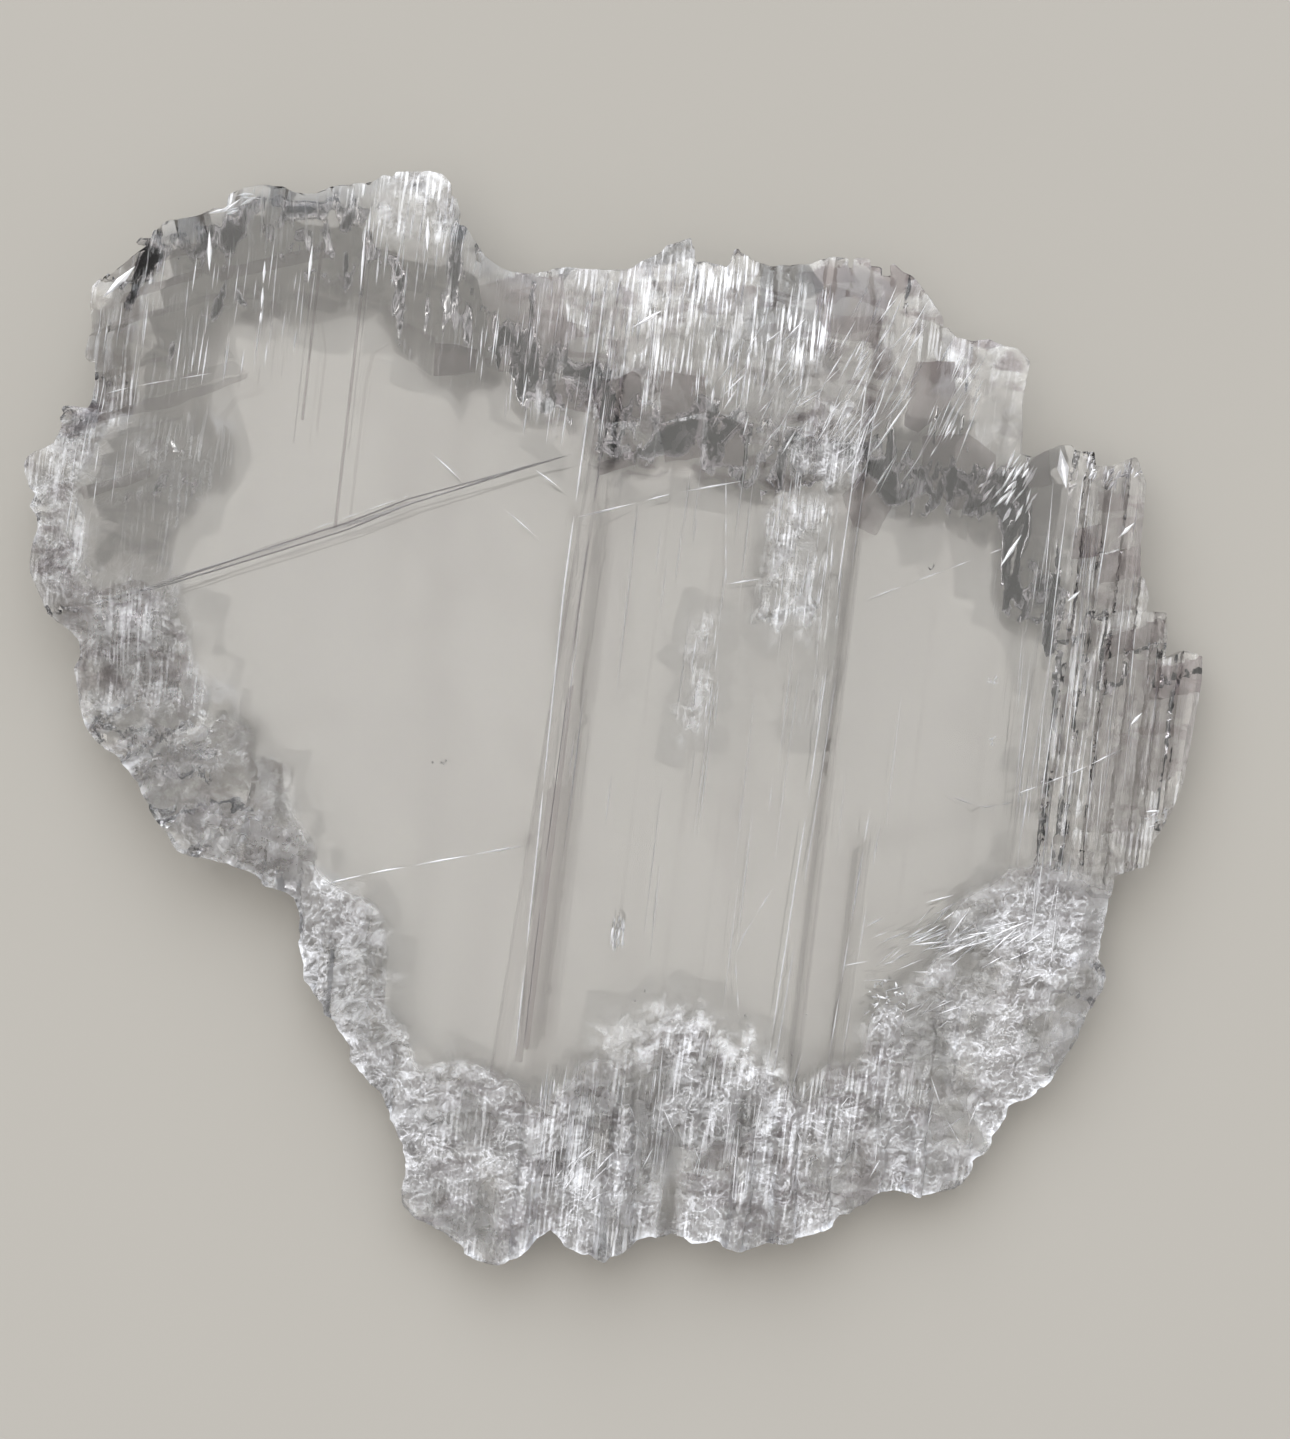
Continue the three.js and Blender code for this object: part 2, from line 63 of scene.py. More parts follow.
WORD = 0xFFFFFFFF  # the largest whole number of 32 bits
CLEAR = (1.0, 1.0, 1.0)

Place = tuple[float, float]
Span = tuple[float, float]
Colour = tuple[float, float, float]
Faces = list[tuple[int, ...]]
Fields = dict[str, np.ndarray]
Value = bpy.types.NodeSocket | float | tuple[float, ...]
Settings = dict[str, str | bool]


# ---- Tools for fields over the plan ----


def smoothstep(low: float, high: float, value: np.ndarray) -> np.ndarray:
    """A smooth rise from 0 at low to 1 at high."""
    t = np.clip((value - low) / (high - low), 0.0, 1.0)
    return t * t * (3.0 - 2.0 * t)


def to_crystal(x: np.ndarray, y: np.ndarray) -> tuple[np.ndarray, np.ndarray]:
    """The crystal's u and v of a place given in the part's frame."""
    cos, sin = math.cos(FIBRE_TILT), math.sin(FIBRE_TILT)
    return x * cos - y * sin, x * sin + y * cos


def to_part(u: np.ndarray, v: np.ndarray) -> tuple[np.ndarray, np.ndarray]:
    """The part's x and y of a place given in the crystal's frame."""
    cos, sin = math.cos(FIBRE_TILT), math.sin(FIBRE_TILT)
    return u * cos + v * sin, -u * sin + v * cos


def outward_of(loop: np.ndarray, reach: int) -> np.ndarray:
    """The outward direction at each point of an anticlockwise loop.

    Args:
        loop: The loop's points.
        reach: How many points away the neighbours stand that give its direction.

    Returns:
        Unit vectors.
    """
    tangent = np.roll(loop, -reach, 0) - np.roll(loop, reach, 0)
    outward = np.column_stack([tangent[:, 1], -tangent[:, 0]])
    return outward / np.linalg.norm(outward, axis=1)[:, None]


def run_along(path: np.ndarray) -> np.ndarray:
    """The distance from the start of a path to each of its points."""
    return np.concatenate([[0], np.cumsum(np.linalg.norm(np.diff(path, axis=0), axis=1))])


@dataclass(frozen=True)
class Noise:
    """Repeatable noise over the plan. One unit of x or y is one feature wide."""

    seed: int
    mixers: tuple[int, ...] = (374761393, 668265263, 2246822519, 1274126177, 2654435761)
    finer: float = 2.03  # how much smaller each layer's bumps are than the last one's
    weaker: float = 0.5  # how much lower they are
    shift: Place = (17.3, -5.7)  # moves the layers apart
    crest: float = 2.6  # how steeply a ridge falls away
    inset: float = 0.1  # how near its cell's edge a facet's middle may come
    lift: float = 0.6  # how far facets stand above and below each other
    wander: float = 0.35  # how far a splinter's side strays, in widths
    stretch: Span = (0.6, 0.9)  # a splinter's least length and its spread, in lengths
    stagger: float = 9.0  # how far splinters' ends lie apart, in lengths

    def hashed(self, i: np.ndarray, j: np.ndarray, channel: int = 0) -> np.ndarray:
        """A number from 0 to 1 for each pair of whole numbers.

        Args:
            i: First whole number of each pair.
            j: Second whole number of each pair.
            channel: Picks one of several unrelated numbers.

        Returns:
            The numbers, in the shape of i.
        """
        mask = np.uint64(WORD)
        across, along, apart, first, second = (np.uint64(mixer) for mixer in self.mixers)
        a = np.asarray(i).astype(np.int64).astype(np.uint64)
        b = np.asarray(j).astype(np.int64).astype(np.uint64)
        offset = np.uint64((self.seed * 7919 + channel * 104729 + 12345) & WORD)
        n = (a * across + b * along + offset * apart) & mask
        n = ((n ^ (n >> np.uint64(13))) * first) & mask
        n = ((n ^ (n >> np.uint64(15))) * second) & mask
        return (n ^ (n >> np.uint64(16))).astype(np.float64) / WORD

    def smooth(self, x: np.ndarray, y: np.ndarray) -> np.ndarray:
        """Soft bumps.

        Args:
            x: Places across, in features.
            y: Places along, in features.

        Returns:
            Heights from -1 to 1.
        """
        i, j = np.floor(x), np.floor(y)
        fx, fy = x - i, y - j
        sx, sy = fx * fx * (3 - 2 * fx), fy * fy * (3 - 2 * fy)
        low = self.hashed(i, j) * (1 - sx) + self.hashed(i + 1, j) * sx
        high = self.hashed(i, j + 1) * (1 - sx) + self.hashed(i + 1, j + 1) * sx
        return 2.0 * (low * (1 - sy) + high * sy) - 1.0

    def layered(self, x: np.ndarray, y: np.ndarray, layers: int = 3) -> np.ndarray:
        """Bumps with finer bumps on them.

        Args:
            x: Places across, in features.
            y: Places along, in features.
            layers: How many sizes of bump there are.

        Returns:
            Heights from about -1 to 1.
        """
        total, weight, scale = np.zeros_like(x), 1.0, 1.0
        for _ in range(layers):
            right, up = self.shift[0] * scale, self.shift[1] * scale
            total += weight * self.smooth(x * scale + right, y * scale + up)
            weight *= self.weaker
            scale *= self.finer
        return total * (1.0 - self.weaker) / (1.0 - weight)

    def ridges(self, x: np.ndarray, y: np.ndarray, layers: int = 2) -> np.ndarray:
        """Sharp crests, from -1 in the troughs to 1 on a crest."""
        return 1.0 - self.crest * np.abs(self.layered(x, y, layers))

    def facets(self, x: np.ndarray, y: np.ndarray, slope: float) -> np.ndarray:
        """A mosaic of flat cells, each lifted and tilted its own way.

        Args:
            x: Places across, in cells.
            y: Places along, in cells.
            slope: How steeply a cell may tilt.

        Returns:
            Heights from about -1 to 1.
        """
        i0, j0 = np.floor(x), np.floor(y)
        nearest, height = np.full(x.shape, np.inf), np.zeros(x.shape)
        stray = 1.0 - 2.0 * self.inset
        for di in (-1, 0, 1):
            for dj in (-1, 0, 1):
                i, j = i0 + di, j0 + dj
                dx = x - i - self.inset - stray * self.hashed(i, j, 1)
                dy = y - j - self.inset - stray * self.hashed(i, j, 2)
                plane = self.lift * self.hashed(i, j, 3) - self.lift / 2
                plane += slope * ((2 * self.hashed(i, j, 4) - 1) * dx + (2 * self.hashed(i, j, 5) - 1) * dy)
                distance = dx * dx + dy * dy
                closer = distance < nearest
                nearest = np.where(closer, distance, nearest)
                height = np.where(closer, plane, height)
        return height

    def splinters(self, u: np.ndarray, v: np.ndarray, width: float, length: float) -> np.ndarray:
        """Blocks along the fibres, cut off on the second cleavage.

        Args:
            u: Places across the fibres.
            v: Places along the fibres.
            width: How wide a block is.
            length: How long a block is.

        Returns:
            Each block's own height, from -1 to 1.
        """
        column = np.floor(u / width + self.wander * self.smooth(u / (5 * width), v / (2 * length)))
        along = v - u * math.tan(CROSS_TILT)
        stretch = self.stretch[0] + self.stretch[1] * self.hashed(column, column * 0, 7)
        row = np.floor(along / length * stretch + self.stagger * self.hashed(column, column * 0, 8))
        return 2.0 * self.hashed(column, row, 9) - 1.0


@dataclass
class HeightMap:
    """Heights on a regular grid over the plan, with a mask of where they are known."""

    start: Place
    pitch: float
    z: np.ndarray
    known: np.ndarray

    def blurred(self, across: float, along: float) -> "HeightMap":
        """The map smoothed over the known places, and carried a little past them.

        Args:
            across: Standard deviation along u, in millimetres.
            along: Standard deviation along v, in millimetres.

        Returns:
            The smoothed map.
        """
        weight = self.known.astype(float)
        z = self.z * weight
        for axis, sigma in ((1, across), (0, along)):
            reach = max(1, int(3 * sigma / self.pitch))
            kernel = np.exp(-0.5 * (np.arange(-reach, reach + 1) * self.pitch / sigma) ** 2)
            z = sum(k * np.roll(z, n - reach, axis) for n, k in enumerate(kernel))
            weight = sum(k * np.roll(weight, n - reach, axis) for n, k in enumerate(kernel))
        known = weight > 1e-3
        return HeightMap(self.start, self.pitch, np.where(known, z / np.maximum(weight, TINY), 0.0), known)

    def at(self, u: np.ndarray, v: np.ndarray) -> np.ndarray:
        """The height at any place, between the grid's own.

        Args:
            u: Places across the fibres.
            v: Places along the fibres.

        Returns:
            The heights.
        """
        gx = np.clip((u - self.start[0]) / self.pitch, 0, self.z.shape[1] - 1.001)
        gy = np.clip((v - self.start[1]) / self.pitch, 0, self.z.shape[0] - 1.001)
        i, j = gx.astype(int), gy.astype(int)
        fx, fy = gx - i, gy - j
        low = self.z[j, i] * (1 - fx) + self.z[j, i + 1] * fx
        high = self.z[j + 1, i] * (1 - fx) + self.z[j + 1, i + 1] * fx
        return low * (1 - fy) + high * fy

    def known_at(self, u: np.ndarray, v: np.ndarray) -> np.ndarray:
        """Whether the map knows the height at each place.

        Args:
            u: Places across the fibres.
            v: Places along the fibres.

        Returns:
            True where it does.
        """
        i = np.clip(np.rint((u - self.start[0]) / self.pitch).astype(int), 0, self.z.shape[1] - 1)
        j = np.clip(np.rint((v - self.start[1]) / self.pitch).astype(int), 0, self.z.shape[0] - 1)
        return self.known[j, i]

    def filled(self, spread: float = 0.5, rounds: int = 3) -> "HeightMap":
        """The map with its known heights kept and its unknown ones carried out from them.

        Args:
            spread: How far one round carries them, as a standard deviation in millimetres.
            rounds: How many rounds there are.

        Returns:
            The filled map.
        """
        z, known = self.z.copy(), self.known.copy()
        for _ in range(rounds):
            soft = HeightMap(self.start, self.pitch, z, known).blurred(spread, spread)
            z = np.where(known, z, soft.z)
            known = known | soft.known
        return HeightMap(self.start, self.pitch, z, known)


@dataclass
class PackedSolid:
    """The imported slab, read by casting rays straight at its front and back."""

    node: bpy.types.Object
    pitch: float = 0.3  # between rays
    margin: float = 2.0  # how far the rays go beyond the slab
    snap: float = 0.6  # how far inside and outside the grid's outline the true edge is looked for
    halvings: int = 7  # how finely it is looked for
    tree: BVHTree = field(init=False)
    front: HeightMap = field(init=False)
    back: HeightMap = field(init=False)

    def __post_init__(self) -> None:
        """Reads both faces."""
        mesh = self.node.data
        corners = np.array([vertex.co for vertex in mesh.vertices]) / MM
        u, v = to_crystal(corners[:, 0], corners[:, 1])
        turned = np.column_stack([u, v, corners[:, 2]])
        faces = [tuple(polygon.vertices) for polygon in mesh.polygons]
        self.tree = BVHTree.FromPolygons([tuple(row) for row in turned], faces)
        low, high = turned.min(0) - self.margin, turned.max(0) + self.margin
        us = np.arange(low[0], high[0], self.pitch)
        vs = np.arange(low[1], high[1], self.pitch)
        self.front = self._read(us, vs, 1)
        self.back = self._read(us, vs, -1)

    def _read(self, us: np.ndarray, vs: np.ndarray, side: int) -> HeightMap:
        """One face as a height map.

        Args:
            us: The grid's places across the fibres.
            vs: The grid's places along the fibres.
            side: 1 for the front and -1 for the back.

        Returns:
            The map.
        """
        z = np.zeros((len(vs), len(us)))
        known = np.zeros(z.shape, bool)
        for j, v in enumerate(vs):
            for i, u in enumerate(us):
                hit = self.tree.ray_cast((u, v, SKY * side), (0, 0, -side))[0]
                if hit is not None:
                    z[j, i] = hit.z
                    known[j, i] = True
        return HeightMap((us[0], vs[0]), self.pitch, z, known)

    def covers(self, u: float, v: float) -> bool:
        """Whether the slab covers this place."""
        return self.tree.ray_cast((u, v, SKY), (0, 0, -1))[0] is not None

    def outline(self, spacing: float) -> np.ndarray:
        """The slab's outline in the plan, as evenly spaced points that run anticlockwise.

        Args:
            spacing: Distance between points.

        Returns:
            An array of u and v.
        """
        longest = max(self._grid_loops(), key=len)
        stairs = (np.array(longest) - 0.5) * self.pitch + np.array(self.front.start)
        smooth = sum(np.roll(stairs, k, 0) for k in range(-2, 3)) / 5.0
        return self._evenly(self._snapped(smooth), spacing)

    def _grid_loops(self) -> list[list[tuple[int, int]]]:
        """Follows the edges of the covered cells.

        Returns:
            Each closed loop of grid corners, anticlockwise around covered cells.
        """
        inside = self._solid_cells()
        follows: dict[tuple[int, int], list[tuple[int, int]]] = {}
        for j, i in zip(*np.nonzero(inside)):
            sides = (
                (inside[j - 1, i], (i, j), (i + 1, j)),
                (inside[j, i + 1], (i + 1, j), (i + 1, j + 1)),
                (inside[j + 1, i], (i + 1, j + 1), (i, j + 1)),
                (inside[j, i - 1], (i, j + 1), (i, j)),
            )
            for shared, begin, end in sides:
                if not shared:
                    follows.setdefault(begin, []).append(end)
        loops = []
        while follows:
            at = next(iter(follows))
            loop = []
            while at in follows:
                loop.append(at)
                ends = follows[at]
                after = ends.pop()
                if not ends:
                    del follows[at]
                at = after
            loops.append(loop)
        return loops

    def _solid_cells(self) -> np.ndarray:
        """The covered cells of the grid, with pinholes closed and lone cells dropped.

        Returns:
            True for each covered cell.
        """
        known = self.front.known
        around = sum(np.roll(known, step, axis).astype(int) for axis in (0, 1) for step in (-1, 1))
        return (known & (around >= 2)) | (around >= 3)

    def _snapped(self, loop: np.ndarray) -> np.ndarray:
        """The loop with each point moved along its normal onto the solid's edge.

        Args:
            loop: The loop's points.

        Returns:
            The moved points. A point that is far from the edge stays.
        """
        snapped = loop.copy()
        for k, (point, out) in enumerate(zip(loop, outward_of(loop, 2))):
            low, high = -self.snap, self.snap
            if not self.covers(*(point + out * low)) or self.covers(*(point + out * high)):
                continue
            for _ in range(self.halvings):
                middle = (low + high) / 2
                if self.covers(*(point + out * middle)):
                    low = middle
                else:
                    high = middle
            snapped[k] = point + out * low
        return snapped

    @staticmethod
    def _evenly(loop: np.ndarray, spacing: float) -> np.ndarray:
        """The loop with its points spread evenly along it.

        Args:
            loop: The loop's points.
            spacing: Distance between points.

        Returns:
            The spread points.
        """
        closed = np.vstack([loop, loop[:1]])
        run = run_along(closed)
        stops = np.linspace(0, run[-1], int(run[-1] / spacing), endpoint=False)
        return np.column_stack([np.interp(stops, run, closed[:, 0]), np.interp(stops, run, closed[:, 1])])


# ---- How each stretch of the rim breaks ----


@dataclass(frozen=True)
class Break:
    """How strongly one stretch of the rim shows each kind of break. Heights are millimetres."""

    fibre: float = 0.0  # ridges along the fibres
    lath: float = 0.0  # blocky splinters
    sugar: float = 0.0  # small tilted facets
    flake: float = 0.0  # large tilted facets
    silk: float = 0.0  # how silky the finish is, 0 to 1
    frost: float = 0.0  # how sugary the finish is, 0 to 1
    milk: float = 0.0  # how milky it is, 0 to 1
    dusk: float = 0.0  # how much painted shade it has, 0 to 1: the mauve dark that the broken rim reflects


class Sector(Enum):
    """Stretches of the rim by compass: first heading, last heading, the front's break and the back's."""

    LATHS = (
        -19, 33,
        Break(lath=0.36, fibre=0.03, silk=0.28, dusk=0.38),
        Break(lath=0.35, fibre=0.04, silk=0.2, dusk=0.3),
    )
    SOUTH_EAST = (
        -50, -19,
        Break(sugar=0.13, fibre=0.02, flake=0.06, frost=0.95, milk=0.12, dusk=0.25),
        Break(sugar=0.06, flake=0.06, frost=0.6, dusk=0.1),
    )
    SOUTH = (
        -113, -50,
        Break(sugar=0.13, flake=0.2, frost=0.85, silk=0.4, milk=0.04, dusk=0.5),
        Break(sugar=0.06, flake=0.1, frost=0.45, dusk=0.2),
    )
    SOUTH_WEST = (
        -152, -113,
        Break(sugar=0.15, flake=0.12, frost=0.9, milk=0.32, dusk=0.15),
        Break(sugar=0.10, frost=0.6, milk=0.1, dusk=0.1),
    )
    WEST_FLAKES = (
        -182, -152,
        Break(flake=0.75, sugar=0.12, frost=0.45, dusk=0.4),
        Break(flake=0.4, sugar=0.1, frost=0.3, dusk=0.3),
    )
    WEST_COMB = (
        147, 178,
        Break(sugar=0.12, lath=0.08, frost=0.4, silk=0.25, dusk=0.6),
        Break(fibre=0.06, frost=0.35, silk=0.2, dusk=0.4),
    )
    NORTH_WEST = (
        104, 147,
        Break(fibre=0.06, sugar=0.08, silk=0.5, dusk=0.3),
        Break(fibre=0.08, sugar=0.12, silk=0.25, dusk=0.45),
    )
    CROWN = (
        72, 104,
        Break(fibre=0.2, sugar=0.2, flake=0.1, silk=1.0, frost=0.3, dusk=0.7),
        Break(fibre=0.2, flake=0.4, silk=0.4, dusk=0.8),
    )
    CROWN_EAST = (
        50, 72,
        Break(fibre=0.12, sugar=0.12, flake=0.3, silk=0.5, frost=0.2, dusk=1.0),
        Break(fibre=0.2, flake=0.4, silk=0.3, dusk=0.9),
    )
    NORTH_EAST = (
        33, 50,
        Break(fibre=0.06, sugar=0.10, flake=0.3, silk=0.35, frost=0.1, dusk=0.7),
        Break(fibre=0.15, flake=0.4, silk=0.2, dusk=0.5),
    )

    def __init__(self, first: float, last: float, front: Break, back: Break) -> None:
        """Names the parts of the value."""
        self.first, self.last, self.front, self.back = first, last, front, back

    def weight(self, x: np.ndarray, y: np.ndarray, blend: float = 6.0) -> np.ndarray:
        """How far each place belongs to this sector, with soft ends.

        Args:
            x: Places, in the part's frame.
            y: Places, in the part's frame.
            blend: How many degrees each end takes to fade.

        Returns:
            Shares from 0 to 1.
        """
        middle, half = (self.first + self.last) / 2, (self.last - self.first) / 2
        away = np.abs((np.degrees(np.arctan2(y, x)) - middle + 180) % 360 - 180)
        return smoothstep(half + blend / 2, half - blend / 2, away)


SOFT_SECTORS = (Sector.SOUTH_EAST, Sector.SOUTH, Sector.SOUTH_WEST, Sector.WEST_COMB, Sector.NORTH_WEST)


def blended(name: str, front: bool, x: np.ndarray, y: np.ndarray) -> np.ndarray:
    """One field of the sectors' breaks, blended over the plan.

    Args:
        name: Field of Break.
        front: Whether it is the front's break, and not the back's.
        x: Places, in the part's frame.
        y: Places, in the part's frame.

    Returns:
        The field's value at each place.
    """
    total, weights = np.zeros_like(x), np.full_like(x, 1e-6)
    for sector in Sector:
        weight = sector.weight(x, y)
        total += weight * getattr(sector.front if front else sector.back, name)
        weights += weight
    return total / weights


@dataclass(frozen=True)
class Strip:
    """A crisp band of the front face, a little darker than the clear crystal by painted shade, in millimetres.
    """

    low: float  # one side, as a distance across the band
    high: float
    start: float  # where it begins along the band
    end: float
    shade: float
    lean: float = 0.0  # how far it drifts across for each millimetre along
    crosses: bool = False  # whether it runs across the fibres

    def line(self, across: float, spacing: float = 1.5) -> tuple[np.ndarray, np.ndarray]:
        """Places along the band, at one distance across it, as u and v."""
        along = np.arange(self.start, self.end, spacing)
        return (along, across + self.lean * along) if self.crosses else (across + self.lean * along, along)

    def holds(self, u: np.ndarray, v: np.ndarray) -> np.ndarray:
        """Whether each place lies on the band."""
        along, across = (u, v - self.lean * u) if self.crosses else (v, u - self.lean * v)
        return (across > self.low) & (across < self.high) & (along > self.start) & (along < self.end)


# Bands of painted shade along the ledges and lines of the front face.
STRIPS = (
    Strip(-8.5, -8.1, -46, 60, 0.45, lean=0.043),
    Strip(-8.1, -6.5, -54, 60, 0.18, lean=0.043),
    Strip(-7.3, -6.3, -44, -8, 0.62, lean=0.004),
    Strip(-6.3, -5.7, -42, 4, 0.75, lean=0.004),
    Strip(-6.9, -6.4, 2, 60, 0.50, lean=0.03),
    Strip(-5.7, -4.4, -50, 26, 0.12, lean=0.01),
    Strip(26.6, 27.3, -50, 60, 0.28),
    Strip(27.9, 28.3, -66, 30, 0.25),
    Strip(31.7, 32.4, -50, -12, 0.25),
    Strip(33.6, 33.9, -50, -10, 0.20),
    Strip(59.9, 61.7, -71, -51.5, 0.30, lean=0.42, crosses=True),
    Strip(52.8, 54.2, -68, -60, 0.25, lean=0.42, crosses=True),
    Strip(-43.5, -43.15, 33, 56, 0.8, lean=-0.006),
    Strip(-37.9, -37.5, 20, 58, 0.8, lean=-0.006),
    Strip(-44.2, -44.0, 30, 52, 0.5, lean=-0.006),
    Strip(-37.2, -37.0, 30, 58, 0.4, lean=-0.006),
    Strip(-2.9, -2.6, -40, 42, 0.12),
    Strip(3.4, 3.8, -30, 38, 0.08),
    Strip(9.6, 10.3, -34, 36, 0.07),
    Strip(14.4, 14.8, -40, 36, 0.10),
    Strip(38.0, 38.6, -20, 20, 0.08),
    Strip(46.0, 47.0, -30, 24, 0.07),
    Strip(51.5, 51.9, -24, 30, 0.18),
    Strip(54.6, 55.0, -30, 26, 0.20),
)


@dataclass(frozen=True)
class Patch:
    """A torn rectangle on the front face, in millimetres, with its finish and its painted shade."""

    u: Span
    v: Span
    silk: float = 0.0
    frost: float = 0.0
    milk: float = 0.0
    dusk: float = 0.0
    ragged: float = 2.6  # how far its ends stray
    swerve: float = 2.2  # how far its sides stray
    end: Span = (-1.0, 2.0)  # where an end begins and stops fading in
    side: Span = (-0.5, 0.7)  # the same for a side
    least: float = 0.35  # what is left of it where it is worn

    def weight(self, u: np.ndarray, v: np.ndarray) -> np.ndarray:
        """How far each place belongs to the patch, with ragged ends along the fibres and worn places in it.

        Args:
            u: Places across the fibres.
            v: Places along the fibres.

        Returns:
            Shares from 0 to 1.
        """
        ragged = self.ragged * Noise(77).layered(u / 1.3, v / 6.0)
        swerve = self.swerve * Noise(78).layered(u / 4.0, v / 3.4)
        whole = smoothstep(-0.3, 0.25, Noise(79).layered(u / 1.8, v / 3.2))
        foot = smoothstep(*self.end, v + ragged - self.v[0])
        head = smoothstep(*self.end, self.v[1] - v + ragged)
        left = smoothstep(*self.side, u + swerve - self.u[0])
        right = smoothstep(*self.side, self.u[1] - u - swerve)
        return (left * right) * (foot * head) * (self.least + (1.0 - self.least) * whole)


PATCHES = (
    Patch((16.6, 22.6), (14.8, 31.5), silk=0.4, frost=0.6),
    Patch((8.8, 11.8), (-1.5, 15.0), silk=0.2, frost=0.4),
    Patch((24.2, 26.0), (2.0, 20.0), silk=0.2),
    Patch((3.0, 10.0), (-44.0, -36.5), frost=0.45, milk=0.5),
    Patch((6.0, 17.0), (-42.5, -34.5), frost=0.4, milk=0.45),
    Patch((12.0, 23.0), (-46.0, -37.0), frost=0.4, milk=0.4),
    Patch((19.0, 26.5), (33.0, 44.0), silk=0.4, frost=0.7),
    Patch((35.0, 47.5), (47.0, 54.5), silk=0.1, frost=0.35, dusk=1.0),
    # The crown's top: silk, and milky white that is a painted sheen for a soft bluish reflection.
    Patch((-6.0, 4.5), (50.0, 58.5), silk=1.0, milk=0.35),
    Patch((6.0, 10.0), (52.0, 58.5), silk=0.8, milk=0.3),
    Patch((11.0, 21.5), (47.0, 57.5), silk=1.0, milk=0.15),
    Patch((-37.5, -28.0), (58.0, 70.0), silk=0.8, frost=0.4, milk=0.25),
    Patch((-46.0, -38.5), (61.0, 70.0), silk=0.5, milk=0.1),
    # Painted light: a little milky white on a dark sloping block in the north east.
    Patch((41.0, 47.5), (38.0, 47.0), milk=0.12),
    Patch((24.0, 27.8), (-57.0, -39.0), milk=0.5),
    Patch((-5.5, 3.0), (-60.0, -47.0), silk=0.6, milk=0.5),
)


@dataclass(frozen=True)
class Pane:
    """A smooth facet with crisp edges and painted shade, as its corners in the part's frame, in millimetres."""

    corners: tuple[Place, ...]
    shade: float  # how much painted shade it has, 0 to 1
    calm: float = 0.85  # how much of the white and of the relief it hides, 0 to 1

    def edge(self, spacing: float = 0.7, wobble: float = 0.16) -> np.ndarray:
        """The facet's outline with the slight unevenness of a real break.

        Args:
            spacing: Distance between the outline's points.
            wobble: How far a point may stray.

        Returns:
            An array of x and y.
        """
        places = []
        for a, b in zip(self.corners, self.corners[1:] + self.corners[:1]):
            steps = max(1, round(math.dist(a, b) / spacing))
            share = np.arange(steps)[:, None] / steps
            places.append(np.array(a) * (1 - share) + np.array(b) * share)
        loop = np.vstack(places)
        stray = [Noise(seed).smooth(loop[:, 0] / 1.1, loop[:, 1] / 1.1) for seed in (91, 92)]
        return loop + wobble * np.column_stack(stray)

    def holds(self, x: np.ndarray, y: np.ndarray) -> np.ndarray:
        """Whether each place lies on the facet.

        Args:
            x: Places, in the part's frame.
            y: Places, in the part's frame.

        Returns:
            True where it does.
        """
        loop = self.edge()
        inside = np.zeros(np.shape(x), bool)
        for (ax, ay), (bx, by) in zip(loop, np.roll(loop, -1, 0)):
            if ay != by:
                inside ^= ((y > ay) != (y > by)) & (x < (bx - ax) * (y - ay) / (by - ay) + ax)
        return inside
